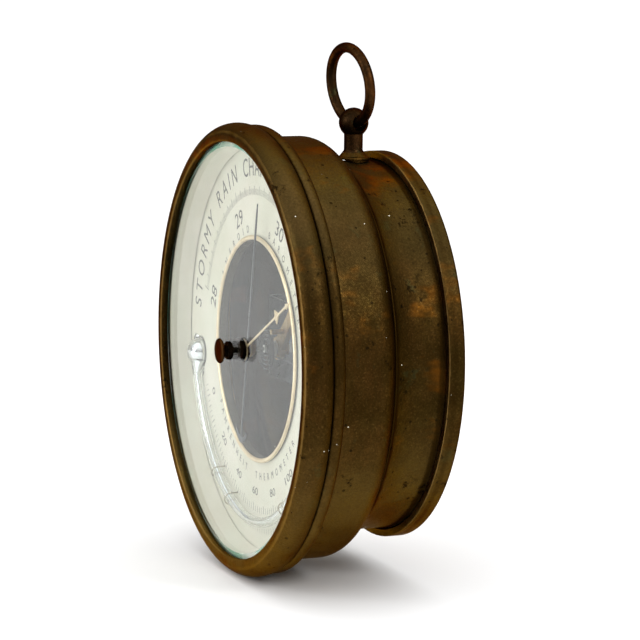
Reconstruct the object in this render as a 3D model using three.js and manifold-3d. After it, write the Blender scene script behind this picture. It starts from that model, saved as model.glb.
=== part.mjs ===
// A five-inch aneroid barometer in a turned brass case, with an open dial, a curved
// Fahrenheit thermometer and a suspension ring. Millimetres, +Z up.
// The origin is the centre of the flat back. The dial faces -Y and the case's axis is Y.
// "Depth" is the distance behind the plane of the bezel's lip, so y = depth - CASE_DEPTH.
// Dial angles are in degrees, clockwise from twelve o'clock as a reader sees them.

import * as THREE from "three";
import { mergeVertices } from "three/addons/utils/BufferGeometryUtils.js";
import Module from "manifold-3d";

const wasm = await Module();
wasm.setup();

// ---------------------------------------------------------------- driving dimensions

const GAP = 0.3; // clearance between neighbouring pieces
const ROUND = 36; // facets round a case part
const SMALL = 16; // facets round a small turned part
const FINE = 12; // facets round a screw

// Case, from the front to the back
const WINDOW_RADIUS = 61.2; // inside of the bezel's lip
const LIP_THICKNESS = 1.6;
const BEZEL_REACH = 5.5; // radial width of the bezel's roll outside the window
const BEZEL_ROLL = 8.2; // depth of the bezel's front roll
const BEAD_LENGTH = 3.8; // depth of the narrow bead behind the roll
const GLASS_THICKNESS = 2.5;
const SIGHT_RING_HEIGHT = 6.3; // from the glass back to the dial
const SIGHT_RING_SLOPE = 1.5; // how far the sight ring's face closes in on the dial
const DIAL_THICKNESS = 1.2;
const APERTURE_RADIUS = 32.2; // the round opening that shows the movement
const APERTURE_RIM_WIDTH = 1.4;
const APERTURE_RIM_PROUD = 1.3;
const WALL = 0.8; // spun brass wall of the case
const SHOULDER_FALL = 6.4; // depth of the shoulder, from the barrel to the crease
const CREASE_RADIUS = 57.2; // the crease between the shoulder and the waist
const WAIST_FALL = 8.9; // depth of the hollow between the crease and the waist
const WAIST_RADIUS = 54.8;
const WAIST_FROM_BACK = 12.1; // the narrowest place, where the pendant stands
const COVER_LENGTH = 5.2; // depth of the back cover's rim
const COVER_WALL = 2.3;
const COVER_PLATE = 1.0;
const CASE_DEPTH = 51.4;
const FLANGE_WIDTH = 6.8; // the case's rear flange, inwards from the waist

// Pendant and suspension ring
const FLANGE_FOOT_RADIUS = 4.9;
const FLANGE_FOOT_HEIGHT = 1.1;
const PENDANT_CONE_HEIGHT = 1.8;
const NECK_RADIUS = 2.8;
const NECK_HEIGHT = 4.3;
const BALL_RADIUS = 4.4;
const RING_MEAN_RADIUS = 11.1;
const RING_WIRE_RADIUS = 1.55;
const RING_YAW = 8.7; // degrees, the ring's plane against the dial's plane
const RING_LEAN = -6.6; // degrees, the ring's top leans towards the front
const PENDANT_STUD_RADIUS = 2.0;
const PENDANT_STUD_LENGTH = 4.4;

// Set hand, worked by the knob in front of the glass
const KNOB_HEAD_RADIUS = 3.7;
const KNOB_HEAD_THICKNESS = 1.3;
const KNOB_NECK_RADIUS = 1.9;
const KNOB_NECK_LENGTH = 1.5;
const KNOB_COLLAR_RADIUS = 2.75;
const KNOB_COLLAR_LENGTH = 1.5;
const SPINDLE_RADIUS = 1.2;
const BOSS_RADIUS = 3.65;
const BOSS_THICKNESS = 1.8;
const SET_HAND_LENGTH = 41.5;
const SET_HAND_THICKNESS = 0.4;
const SET_HAND_ANGLE = 63;

// Pointer and its arbor
const POINTER_LENGTH = 44.5;
const POINTER_TAIL = 29.0;
const POINTER_THICKNESS = 0.4;
const POINTER_ANGLE = 9.5;
const ARBOR_RADIUS = 0.6;
const COLLET_RADIUS = 2.2;
const COLLET_LENGTH = 1.6;
const DRUM_RADIUS = 1.6; // the chain winds on this
const DRUM_LENGTH = 1.1;

// Thermometer
const TUBE_RADIUS = 1.5;
const TUBE_BORE_RADIUS = 0.75;
const MERCURY_RADIUS = 0.4;
const TUBE_ARC_RADIUS = 51.0;
const BULB_RADIUS = 4.6;
const BULB_WALL = 0.7;
const BULB_ANGLE = -99.5;
const TUBE_END_ANGLE = -245;
const READING_ANGLE = -181;
const CLIP_ANGLES = [-145.5, -160.7, -214.5];
const CLIP_WIRE = 0.6; // the clips' square wire
const TUBE_STEPS = 26;

// Movement
const PLATE_THICKNESS = 1.6;
const CAPSULE_RADIUS = 30;
const CAPSULE_WALL = 0.5;
const CAPSULE_THICKNESS = 5.8; // over the two diaphragms, without the bosses
const BRIDGE_X = -13; // middle of the spring bridge
const BRIDGE_WIDTH = 12;
const BRIDGE_THICKNESS = 4.5;
const CAPSULE_ROOM = 3; // round the capsule, to the bridge's feet and the rocker
const FOOT_LENGTH = 6.5;
const SPRING_THICKNESS = 0.9;
const SPRING_HALF_WIDTH = 12;
const SPRING_OPENING = 5.7; // between the spring's two leaves
const SPRING_BEND_X = -24;
const SPRING_TIP_X = 8;
const LEVER_THICKNESS = 1.1;
const CRANK_LENGTH = 6;
const ROCKER_ARM = 14;
const ROCKER_HALF_SPAN = 10;
const COCK_LENGTH = 3;
const ARBOR_COCK_THICKNESS = 1.6;
const PILLAR_ROOM = 1.541; // between the capsule and the pillar
const PILLAR_RADIUS = 2.4;
const HUB_RADIUS = 2.2;
const HUB_LENGTH = 3.3;
const SPRING_ROOM = 3.5; // from the hub back to the main spring, over the travel of the post
const CHAIN_RADIUS = 0.3;
const HAIRSPRING_TURNS = 4;
const HAIRSPRING_INNER = 1.7;
const HAIRSPRING_OUTER = 7.0;
const PLATE_SCREW_COUNT = 3;

// ---------------------------------------------------------------- worked-out places

// Depths of the stack that the bezel holds together
const GLASS_FRONT = LIP_THICKNESS + GAP;
const GLASS_BACK = GLASS_FRONT + GLASS_THICKNESS;
const SIGHT_RING_FRONT = GLASS_BACK + GAP;
const DIAL_FRONT = SIGHT_RING_FRONT + SIGHT_RING_HEIGHT + GAP;
const DIAL_BACK = DIAL_FRONT + DIAL_THICKNESS;
const BEZEL_LENGTH = BEZEL_ROLL + BEAD_LENGTH;
const WAIST_DEPTH = CASE_DEPTH - WAIST_FROM_BACK;
const CREASE_DEPTH = WAIST_DEPTH - WAIST_FALL;
const SHOULDER_DEPTH = CREASE_DEPTH - SHOULDER_FALL;
const COVER_FRONT = CASE_DEPTH - COVER_LENGTH;
const COVER_INSIDE = CASE_DEPTH - COVER_PLATE;
const CASE_BACK = COVER_INSIDE - 0.5;
const FLANGE_FRONT = CASE_BACK - WALL;
const PLATE_BACK = FLANGE_FRONT - GAP;
const PLATE_FRONT = PLATE_BACK - PLATE_THICKNESS;

// Radii of the same stack
const BARREL_RADIUS = WINDOW_RADIUS + 1.2;
const BARREL_BORE = BARREL_RADIUS - WALL;
const BEZEL_BORE = BARREL_RADIUS + GAP;
const LOOSE_RADIUS = BARREL_BORE - GAP; // what lies inside the barrel
const APERTURE_HOLE = APERTURE_RADIUS + 0.5 + GAP;
const PLATE_RADIUS = WAIST_RADIUS - WALL - GAP - 0.1;
const FLANGE_RADIUS = WAIST_RADIUS - FLANGE_WIDTH;
const SCREW_CIRCLE = (FLANGE_RADIUS + WAIST_RADIUS - WALL) / 2;

// Hands: the set hand lies in front of the pointer
const BOSS_FRONT = GLASS_BACK + GAP;
const SET_HAND_FRONT = BOSS_FRONT + BOSS_THICKNESS + GAP;
const SPINDLE_END = SET_HAND_FRONT + SET_HAND_THICKNESS + 0.1;
const POINTER_FRONT = SPINDLE_END + 2 * GAP;
const POINTER_BACK = POINTER_FRONT + POINTER_THICKNESS;
const COLLET_FRONT = POINTER_BACK + GAP;
const SPIRAL_DEPTH = DIAL_BACK + 1.5;
const DRUM_FRONT = DIAL_BACK + 3.0;
const CHAIN_DEPTH = DRUM_FRONT + DRUM_LENGTH / 2;
const DRUM_FLANGE = 0.3;
const ARBOR_COCK_FRONT = DRUM_FRONT + DRUM_LENGTH + DRUM_FLANGE + GAP;
const HUB_BACK = ARBOR_COCK_FRONT + HUB_LENGTH;
const CHAIN_Z = -(DRUM_RADIUS + GAP + CHAIN_RADIUS);

// Main spring, lever and rocker
const SPRING_FRONT = HUB_BACK + SPRING_ROOM;
const SPRING_BACK = SPRING_FRONT + SPRING_OPENING + 2 * SPRING_THICKNESS;
const SPRING_MIDDLE = (SPRING_FRONT + SPRING_BACK) / 2;
const BRIDGE_FRONT = SPRING_BACK + GAP;
const BRIDGE_BACK = BRIDGE_FRONT + BRIDGE_THICKNESS;
const LEVER_FRONT = SPRING_FRONT - GAP - LEVER_THICKNESS;
const ROCKER_X = CAPSULE_RADIUS + CAPSULE_ROOM;
const LEVER_TIP_X = ROCKER_X - CRANK_LENGTH;
const ROCKER_DEPTH = CHAIN_DEPTH + ROCKER_ARM;
const CAPSULE_BACK = PLATE_FRONT - GAP - 2.4;
const CAPSULE_FRONT = CAPSULE_BACK - CAPSULE_THICKNESS;
const FRONT_BOSS = CAPSULE_FRONT - 1.1;
const BRIDGE_HALF_SPAN = CAPSULE_RADIUS + CAPSULE_ROOM + FOOT_LENGTH;
const FOOT_MIDDLE = BRIDGE_HALF_SPAN - FOOT_LENGTH / 2;
const PILLAR_AT = (CAPSULE_RADIUS + PILLAR_ROOM + PILLAR_RADIUS) * Math.SQRT1_2;

// Pendant, upwards from the waist of the case
const PENDANT_Y = WAIST_DEPTH - CASE_DEPTH;
const PENDANT_FOOT = WAIST_RADIUS + GAP;
const NECK_FOOT = PENDANT_FOOT + FLANGE_FOOT_HEIGHT + PENDANT_CONE_HEIGHT;
const BALL_Z = NECK_FOOT + NECK_HEIGHT + BALL_RADIUS - 0.4;

// ---------------------------------------------------------------- materials

const finish = (color, roughness, metalness) =>
  new THREE.MeshStandardMaterial({ color, roughness, metalness });
const caseBrass = finish(0x6b4f26, 0.55, 1);
const darkBronze = finish(0x33241a, 0.5, 1);
const paleBrass = finish(0xcdb98c, 0.4, 1);
const yellowBrass = finish(0xb08a45, 0.35, 1);
const silvered = finish(0xd6d5c2, 0.6, 0.1);
const blueSteel = finish(0x2b3240, 0.35, 1);
const steel = finish(0x8b8d90, 0.35, 1);
const iron = finish(0x3a3a3c, 0.7, 0.6);
const nickel = finish(0xb4ad9a, 0.35, 1);
const clearGlass = finish(0xdfeee6, 0.05, 0);
const mercury = finish(0xc8ccd0, 0.1, 1);

// ---------------------------------------------------------------- shape helpers

const rad = THREE.MathUtils.degToRad;
const yOf = (depth) => depth - CASE_DEPTH;
const dialX = (radius, angle) => radius * Math.sin(rad(angle));
const dialZ = (radius, angle) => radius * Math.cos(rad(angle));

/** A manifold solid from a closed geometry. */
function solidOf(geometry) {
  const bare = geometry.index ? geometry.toNonIndexed() : geometry.clone();
  bare.deleteAttribute("normal");
  bare.deleteAttribute("uv");
  const merged = mergeVertices(bare, 1e-4);
  const mesh = new wasm.Mesh({
    numProp: 3,
    vertProperties: merged.attributes.position.array,
    triVerts: new Uint32Array(merged.index.array),
  });
  return new wasm.Manifold(mesh);
}

/** A geometry from a manifold solid. */
function geometryOf(solid) {
  const mesh = solid.getMesh();
  const geometry = new THREE.BufferGeometry();
  geometry.setAttribute(
    "position",
    new THREE.BufferAttribute(new Float32Array(mesh.vertProperties), 3),
  );
  geometry.setIndex(new THREE.BufferAttribute(new Uint32Array(mesh.triVerts), 1));
  geometry.computeVertexNormals();
  return geometry;
}

/** The first geometry with the others cut away. */
function cut(base, ...tools) {
  let solid = solidOf(base);
  for (const tool of tools) {
    solid = solid.subtract(solidOf(tool));
  }
  return geometryOf(solid);
}

/** All geometries joined into one. */
function join(base, ...others) {
  let solid = solidOf(base);
  for (const other of others) {
    solid = solid.add(solidOf(other));
  }
  return geometryOf(solid);
}

/** A piece turned about the case's axis from [radius, depth] points. */
function turned(profile, segments = ROUND) {
  const points = profile.map(([r, depth]) => new THREE.Vector2(r, yOf(depth)));
  let area = 0;
  points.forEach((p, i) => {
    const q = points[(i + 1) % points.length];
    area += p.x * q.y - q.x * p.y;
  });
  if (area < 0) {
    points.reverse();
  }
  const onAxis = points[0].x === 0 && points[points.length - 1].x === 0;
  if (!onAxis) {
    points.push(points[0].clone());
  }
  return new THREE.LatheGeometry(points, segments);
}

/** A plain disc or tube between two depths. */
function disc(outer, front, back, segments = SMALL, inner = 0) {
  return turned(
    [
      [inner, front],
      [outer, front],
      [outer, back],
      [inner, back],
    ],
    segments,
  );
}

/** The same disc, standing at a place on the dial's plane. */
const discAt = (x, z, ...size) => disc(...size).translate(x, 0, z);

/** A block between two corners given as x, depth and z. */
function block(x0, x1, front, back, z0, z1) {
  const geometry = new THREE.BoxGeometry(x1 - x0, back - front, z1 - z0);
  return geometry.translate((x0 + x1) / 2, yOf((front + back) / 2), (z0 + z1) / 2);
}

/** A flat plate between two depths, from an outline of [x, z] points. */
function plate(outline, front, back) {
  const shape = new THREE.Shape(outline.map(([x, z]) => new THREE.Vector2(x, z)));
  const geometry = new THREE.ExtrudeGeometry(shape, {
    depth: back - front,
    bevelEnabled: false,
  });
  return geometry.rotateX(Math.PI / 2).translate(0, yOf(back), 0);
}

/** Points on an ellipse, from one angle to another, in degrees. */
function ellipse(centreR, centreDepth, a, b, from, to, steps) {
  const points = [];
  for (let i = 0; i <= steps; i += 1) {
    const angle = rad(from + ((to - from) * i) / steps);
    points.push([centreR + a * Math.cos(angle), centreDepth + b * Math.sin(angle)]);
  }
  return points;
}

/** An outline moved inwards by a wall's thickness, along each point's normal. */
function inset(points, wall) {
  return points.map(([r, depth], i) => {
    const before = points[Math.max(i - 1, 0)];
    const after = points[Math.min(i + 1, points.length - 1)];
    const dr = after[0] - before[0];
    const dd = after[1] - before[1];
    const length = Math.hypot(dr, dd);
    return [r - (wall * dd) / length, depth + (wall * dr) / length];
  });
}

/** A circle's arc on the dial, at one depth. */
class DialArc extends THREE.Curve {
  constructor(radius, depth, from, to) {
    super();
    Object.assign(this, { radius, depth, from, to });
  }

  getPoint(t, target = new THREE.Vector3()) {
    const angle = this.from + (this.to - this.from) * t;
    return target.set(
      dialX(this.radius, angle),
      yOf(this.depth),
      dialZ(this.radius, angle),
    );
  }
}

/** A flat spiral about the pointer's axis. */
class Spiral extends THREE.Curve {
  getPoint(t, target = new THREE.Vector3()) {
    const radius = HAIRSPRING_INNER + (HAIRSPRING_OUTER - HAIRSPRING_INNER) * t;
    const angle = 45 - 360 * HAIRSPRING_TURNS * (1 - t);
    return target.set(dialX(radius, angle), yOf(SPIRAL_DEPTH), dialZ(radius, angle));
  }
}

/** A round wire or tube along a curve. */
function wire(curve, radius, sides, steps) {
  const section = new THREE.Shape();
  for (let i = 0; i < sides; i += 1) {
    const angle = (2 * Math.PI * i) / sides;
    const point = [radius * Math.cos(angle), radius * Math.sin(angle)];
    if (i === 0) {
      section.moveTo(...point);
    } else {
      section.lineTo(...point);
    }
  }
  section.closePath();
  return new THREE.ExtrudeGeometry(section, { extrudePath: curve, steps });
}

/** A cheese-headed screw along the case's axis: its head, then its shank. */
function screw(x, z, headRadius, headFront, headBack, shankRadius, shankEnd) {
  const backwards = shankEnd > headBack;
  const [tip, under, top] = backwards
    ? [shankEnd, headBack, headFront]
    : [shankEnd, headFront, headBack];
  const slotDepth = 0.5 * Math.sign(under - top);
  const shape = turned(
    [
      [0, top],
      [headRadius, top],
      [headRadius, under],
      [shankRadius, under],
      [shankRadius, tip],
      [0, tip],
    ],
    FINE,
  );
  const slotEnds = [top - slotDepth, top + slotDepth].sort((a, b) => a - b);
  const slot = block(-headRadius * 1.5, headRadius * 1.5, ...slotEnds, -0.25, 0.25);
  return cut(shape, slot).translate(x, 0, z);
}

const object = new THREE.Group();
object.name = "aneroid_barometer";

/** Names a geometry as one piece of the object and adds it to a group. */
function piece(name, geometry, material, group = object) {
  const mesh = new THREE.Mesh(geometry, material);
  mesh.name = name;
  group.add(mesh);
}

// ---------------------------------------------------------------- case

/** The bezel: a rolled front, a groove, a narrow bead and a lip over the glass. */
function bezel() {
  const roll = BEZEL_ROLL * 0.585;
  const rollCentre = WINDOW_RADIUS + BEZEL_REACH - 4;
  const beadHalf = BEAD_LENGTH / 2;
  return turned([
    [WINDOW_RADIUS, LIP_THICKNESS],
    [WINDOW_RADIUS, 0.6],
    [WINDOW_RADIUS + 0.6, 0.12],
    ...ellipse(rollCentre, roll, 4, roll, -90, 42, 6),
    ...ellipse(rollCentre + 1.9, BEZEL_ROLL + beadHalf, 1.4, beadHalf, -70, 78, 4),
    [BEZEL_BORE, BEZEL_LENGTH],
    [BEZEL_BORE, LIP_THICKNESS],
  ]);
}

/** The outside of the case from the barrel's front edge to its rear flange. */
function caseOutline() {
  const shoulderR = BARREL_RADIUS - CREASE_RADIUS - 0.6;
  const shoulderD = CREASE_DEPTH - SHOULDER_DEPTH - 1.2;
  const centreR = CREASE_RADIUS + 0.6;
  const points = [
    [BARREL_RADIUS, SIGHT_RING_FRONT],
    [BARREL_RADIUS, BEZEL_LENGTH],
    ...ellipse(centreR, SHOULDER_DEPTH, shoulderR, shoulderD, 0, 72, 3),
    [CREASE_RADIUS, CREASE_DEPTH],
  ];
  const drop = CREASE_RADIUS - WAIST_RADIUS;
  for (const t of [0.35, 0.7]) {
    const depth = CREASE_DEPTH + (WAIST_DEPTH - CREASE_DEPTH) * t;
    points.push([WAIST_RADIUS + drop * (1 - t) ** 2, depth]);
  }
  points.push([WAIST_RADIUS, WAIST_DEPTH], [WAIST_RADIUS, COVER_FRONT - 1.5]);
  points.push([WAIST_RADIUS + 0.2, COVER_FRONT], [WAIST_RADIUS + 0.2, CASE_BACK]);
  return points;
}

const plateScrews = Array.from({ length: PLATE_SCREW_COUNT }, (_, i) => {
  const angle = 30 + (360 * i) / PLATE_SCREW_COUNT;
  return [dialX(SCREW_CIRCLE, angle), dialZ(SCREW_CIRCLE, angle)];
});
const screwHoles = () =>
  plateScrews.map(([x, z]) => discAt(x, z, 1.3, PLATE_FRONT - 1, CASE_DEPTH, SMALL));

/** The one-piece spun case: barrel, shoulder, waist and rear flange. */
function caseDrum() {
  const outside = caseOutline();
  const inside = inset(outside.slice(0, -1), WALL).reverse();
  const shell = turned([
    ...outside,
    [FLANGE_RADIUS, CASE_BACK],
    [FLANGE_RADIUS, FLANGE_FRONT],
    [WAIST_RADIUS + 0.2 - WALL, FLANGE_FRONT],
    ...inside,
  ]);
  const stud = new THREE.CylinderGeometry(
    PENDANT_STUD_RADIUS + GAP,
    PENDANT_STUD_RADIUS + GAP,
    12,
    SMALL,
  );
  stud.rotateX(Math.PI / 2).translate(0, PENDANT_Y, WAIST_RADIUS);
  return cut(shell, stud, ...screwHoles());
}

const ADJUST_X = BRIDGE_X;
const ADJUST_Z = FOOT_MIDDLE;

/** The snap-on back cover, with the hole that the adjusting screw is reached through. */
function backCover() {
  const bore = WAIST_RADIUS + 0.2 + GAP;
  const rim = bore + COVER_WALL;
  const cup = turned([
    [0, COVER_INSIDE],
    [bore, COVER_INSIDE],
    [bore, COVER_FRONT + 0.3],
    [bore + 0.3, COVER_FRONT],
    [rim - 0.3, COVER_FRONT],
    [rim, COVER_FRONT + 0.3],
    [rim, CASE_DEPTH - 1.0],
    [rim - 0.3, CASE_DEPTH - 0.3],
    [rim - 1.0, CASE_DEPTH],
    [0, CASE_DEPTH],
  ]);
  const hole = discAt(ADJUST_X, ADJUST_Z, 3.4, COVER_INSIDE - 1, CASE_DEPTH + 1);
  return cut(cup, hole);
}

/** The cover glass, with a bevelled edge and a hole for the set hand's spindle. */
function coverGlass() {
  const edge = BEZEL_BORE - 0.4;
  return turned([
    [SPINDLE_RADIUS + GAP, GLASS_FRONT],
    [edge - 0.7, GLASS_FRONT],
    [edge, GLASS_FRONT + 0.7],
    [edge, GLASS_BACK],
    [SPINDLE_RADIUS + GAP, GLASS_BACK],
  ]);
}

/** The silvered cone between the glass and the dial. */
function sightRing() {
  const inner = LOOSE_RADIUS - 0.4;
  const back = DIAL_FRONT - GAP;
  return turned([
    [inner, SIGHT_RING_FRONT],
    [LOOSE_RADIUS, SIGHT_RING_FRONT],
    [LOOSE_RADIUS, back],
    [inner - SIGHT_RING_SLOPE, back],
  ]);
}

const clipFeet = (angle) =>
  [-1, 1].map((side) => {
    const radius = TUBE_ARC_RADIUS + side * (TUBE_RADIUS + GAP + CLIP_WIRE / 2);
    return [dialX(radius, angle), dialZ(radius, angle)];
  });

/** The silvered dial: a flat ring with holes for the bulb and the tube clips. */
function dial() {
  const ring = disc(LOOSE_RADIUS, DIAL_FRONT, DIAL_BACK, ROUND, APERTURE_HOLE);
  const bulbX = dialX(TUBE_ARC_RADIUS, BULB_ANGLE);
  const bulbZ = dialZ(TUBE_ARC_RADIUS, BULB_ANGLE);
  const around = [DIAL_FRONT - 1, DIAL_BACK + 1];
  const holes = [discAt(bulbX, bulbZ, BULB_RADIUS + GAP, ...around, 24)];
  for (const [x, z] of CLIP_ANGLES.flatMap(clipFeet)) {
    holes.push(discAt(x, z, CLIP_WIRE / 2 + GAP, ...around, 8));
  }
  return cut(ring, ...holes);
}

/** The pale brass moulding round the dial's opening. */
function apertureRim() {
  const outer = APERTURE_RADIUS + APERTURE_RIM_WIDTH;
  const front = DIAL_FRONT - APERTURE_RIM_PROUD;
  return turned([
    [APERTURE_RADIUS, DIAL_BACK + 0.9],
    [APERTURE_RADIUS, front + 0.4],
    [APERTURE_RADIUS + 0.4, front],
    [outer - 0.4, front],
    [outer, front + 0.4],
    [outer, DIAL_FRONT - GAP],
    [APERTURE_RADIUS + 0.5, DIAL_FRONT - GAP],
    [APERTURE_RADIUS + 0.5, DIAL_BACK + 0.9],
  ]);
}

piece("bezel", bezel(), caseBrass);
piece("case_drum", caseDrum(), caseBrass);
piece("back_cover", backCover(), caseBrass);
piece("cover_glass", coverGlass(), clearGlass);
piece("sight_ring", sightRing(), silvered);
piece("dial", dial(), silvered);
piece("aperture_rim", apertureRim(), paleBrass);
piece(
  "dial_support_ring",
  disc(LOOSE_RADIUS, DIAL_BACK + GAP, SHOULDER_DEPTH, ROUND, LOOSE_RADIUS - 1.2),
  yellowBrass,
);

// ---------------------------------------------------------------- pendant and ring

/** The space that the case fills, a gap's width larger all round. */
function caseEnvelope() {
  const around = inset(caseOutline(), -GAP);
  return turned([[0, SIGHT_RING_FRONT], ...around, [0, CASE_BACK]]);
}

/** The turned pendant: a foot fitted to the case, a cone, a neck and a pierced ball. */
function pendant() {
  const under = WAIST_RADIUS - 1;
  const outline = [
    [0, under],
    [FLANGE_FOOT_RADIUS - 0.2, under],
    [FLANGE_FOOT_RADIUS - 0.2, PENDANT_FOOT],
    [FLANGE_FOOT_RADIUS, PENDANT_FOOT + FLANGE_FOOT_HEIGHT / 2],
    [FLANGE_FOOT_RADIUS - 0.2, PENDANT_FOOT + FLANGE_FOOT_HEIGHT],
    [NECK_RADIUS + 0.5, NECK_FOOT - 0.3],
    [NECK_RADIUS, NECK_FOOT],
  ];
  const start = -Math.acos(NECK_RADIUS / BALL_RADIUS);
  const steps = 7;
  for (let i = 0; i <= steps; i += 1) {
    const angle = start + ((Math.PI / 2 - start) * i) / steps;
    const r = i === steps ? 0 : BALL_RADIUS * Math.cos(angle);
    outline.push([r, BALL_Z + BALL_RADIUS * Math.sin(angle)]);
  }
  const upright = (geometry) => geometry.rotateX(Math.PI / 2).translate(0, PENDANT_Y, 0);
  const points = outline.map(([r, z]) => new THREE.Vector2(r, z));
  const body = upright(new THREE.LatheGeometry(points, SMALL));
  const length = PENDANT_STUD_LENGTH + FLANGE_FOOT_HEIGHT;
  const stud = new THREE.CylinderGeometry(
    PENDANT_STUD_RADIUS,
    PENDANT_STUD_RADIUS,
    length,
    SMALL,
  );
  stud.translate(0, PENDANT_FOOT - PENDANT_STUD_LENGTH + length / 2, 0);
  return cut(join(cut(body, caseEnvelope()), upright(stud)), ringHole());
}

/** A flared hole that lets the ring's wire swing, along the ring's own direction. */
function ringHole() {
  const half = BALL_RADIUS + 0.6;
  const points = [new THREE.Vector2(0, -half)];
  for (const t of [-1, -0.5, 0, 0.5, 1]) {
    const along = t * half;
    const sag = (along * along) / (2 * RING_MEAN_RADIUS);
    points.push(new THREE.Vector2(RING_WIRE_RADIUS + GAP + sag, along));
  }
  points.push(new THREE.Vector2(0, half));
  const hole = new THREE.LatheGeometry(points, SMALL);
  hole.rotateZ(-Math.PI / 2).rotateZ(rad(RING_YAW));
  return hole.translate(0, PENDANT_Y, BALL_Z);
}

piece("pendant", pendant(), darkBronze);

const nutTop = WAIST_RADIUS - WALL - GAP - 0.3;
const pendantNut = new THREE.CylinderGeometry(4.2, 4.2, 1.8, 6);
pendantNut.rotateX(Math.PI / 2).translate(0, PENDANT_Y, nutTop - 0.9);
const nutBore = new THREE.CylinderGeometry(
  PENDANT_STUD_RADIUS + GAP,
  PENDANT_STUD_RADIUS + GAP,
  4,
  SMALL,
);
nutBore.rotateX(Math.PI / 2).translate(0, PENDANT_Y, nutTop - 0.9);
piece("pendant_nut", cut(pendantNut, nutBore), yellowBrass);

// The ring passes through the ball's centre, so it is hung from there.
const hangingPoint = new THREE.Group();
hangingPoint.position.set(0, PENDANT_Y, BALL_Z);
hangingPoint.rotation.set(-rad(RING_LEAN), 0, rad(RING_YAW), "ZYX");
object.add(hangingPoint);
const ring = new THREE.TorusGeometry(RING_MEAN_RADIUS, RING_WIRE_RADIUS, 8, 36);
ring.rotateX(Math.PI / 2).translate(0, 0, RING_MEAN_RADIUS);
piece("suspension_ring", ring, darkBronze, hangingPoint);

// ---------------------------------------------------------------- set hand

/** The knob in front of the glass, in one piece with the spindle through it. */
function setKnob() {
  const collarBack = GLASS_FRONT - GAP;
  const collarFront = collarBack - KNOB_COLLAR_LENGTH;
  const headBack = collarFront - KNOB_NECK_LENGTH;
  const headFront = headBack - KNOB_HEAD_THICKNESS;
  return turned(
    [
      [0, headFront],
      [KNOB_HEAD_RADIUS - 0.3, headFront],
      [KNOB_HEAD_RADIUS, headFront + 0.3],
      [KNOB_HEAD_RADIUS, headBack - 0.3],
      [KNOB_HEAD_RADIUS - 0.3, headBack],
      [KNOB_NECK_RADIUS, headBack],
      [KNOB_NECK_RADIUS, collarFront],
      [KNOB_COLLAR_RADIUS, collarFront],
      [KNOB_COLLAR_RADIUS, collarBack],
      [SPINDLE_RADIUS, collarBack],
      [SPINDLE_RADIUS, SPINDLE_END],
      [0, SPINDLE_END],
    ],
    24,
  );
}

/** The set hand: a thin shaft with an arrow's flight and a pointed head. */
function setHand() {
  const flight = SET_HAND_LENGTH * 0.78;
  const half = [
    [0.35, 3.0],
    [0.35, flight - 3.6],
    [2.3, flight - 2.2],
    [2.3, flight - 1.2],
    [0.35, flight],
    [0.35, SET_HAND_LENGTH - 3.2],
    [0.9, SET_HAND_LENGTH - 3.0],
    [0, SET_HAND_LENGTH],
  ];
  const mirrored = half.slice(0, -1).map(([x, z]) => [-x, z]);
  const back = SET_HAND_FRONT + SET_HAND_THICKNESS;
  const shaft = plate([...half, ...mirrored.reverse()], SET_HAND_FRONT, back);
  const eye = disc(3.2, SET_HAND_FRONT, back, SMALL);
  const spindleHole = disc(SPINDLE_RADIUS + GAP, SET_HAND_FRONT - 1, back + 1, SMALL);
  return cut(join(shaft, eye), spindleHole).rotateY(rad(SET_HAND_ANGLE));
}

piece("set_knob", setKnob(), darkBronze);
piece(
  "set_hand_boss",
  disc(BOSS_RADIUS, BOSS_FRONT, BOSS_FRONT + BOSS_THICKNESS, 24, SPINDLE_RADIUS + GAP),
  darkBronze,
);
piece("set_hand", setHand(), paleBrass);

// ---------------------------------------------------------------- pointer

/** The pointer: a slim blade, and a tail that ends in a crescent. */
function pointer() {
  const crescent = POINTER_TAIL;
  const half = [
    [0.9, 0],
    [0.5, 8],
    [0.45, POINTER_LENGTH - 6],
    [0, POINTER_LENGTH],
  ];
  const left = half.slice(0, -1).map(([x, z]) => [-x, z]);
  const tail = [
    [-0.4, -8],
    [-0.4, -crescent + 2.0],
    [-2.6, -crescent + 2.6],
    [-4.0, -crescent + 4.2],
    [-3.2, -crescent + 1.6],
    [-1.4, -crescent + 0.2],
  ];
  const tailRight = tail.map(([x, z]) => [-x, z]).reverse();
  const outline = [...half, ...left.reverse(), ...tail, ...tailRight];
  const blade = plate(outline, POINTER_FRONT, POINTER_BACK);
  const eye = disc(COLLET_RADIUS, POINTER_FRONT, POINTER_BACK, SMALL);
  const hole = disc(ARBOR_RADIUS + GAP, POINTER_FRONT - 1, POINTER_BACK + 1, SMALL);
  return cut(join(blade, eye), hole).rotateY(rad(POINTER_ANGLE));
}

/** The pointer's arbor, in one piece with the hairspring's seat and the chain's drum. */
function handArbor() {
  const flange = DRUM_RADIUS + 0.7;
  return turned(
    [
      [0, POINTER_FRONT - GAP],
      [ARBOR_RADIUS, POINTER_FRONT - GAP],
      [ARBOR_RADIUS, SPIRAL_DEPTH - 0.7],
      [2 * ARBOR_RADIUS, SPIRAL_DEPTH - 0.7],
      [2 * ARBOR_RADIUS, DRUM_FRONT - DRUM_FLANGE],
      [flange, DRUM_FRONT - DRUM_FLANGE],
      [flange, DRUM_FRONT],
      [DRUM_RADIUS, DRUM_FRONT],
      [DRUM_RADIUS, DRUM_FRONT + DRUM_LENGTH],
      [flange, DRUM_FRONT + DRUM_LENGTH],
      [flange, DRUM_FRONT + DRUM_LENGTH + DRUM_FLANGE],
      [ARBOR_RADIUS, DRUM_FRONT + DRUM_LENGTH + DRUM_FLANGE],
      [ARBOR_RADIUS, HUB_BACK + GAP],
      [0, HUB_BACK + GAP],
    ],
    SMALL,
  );
}

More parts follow.
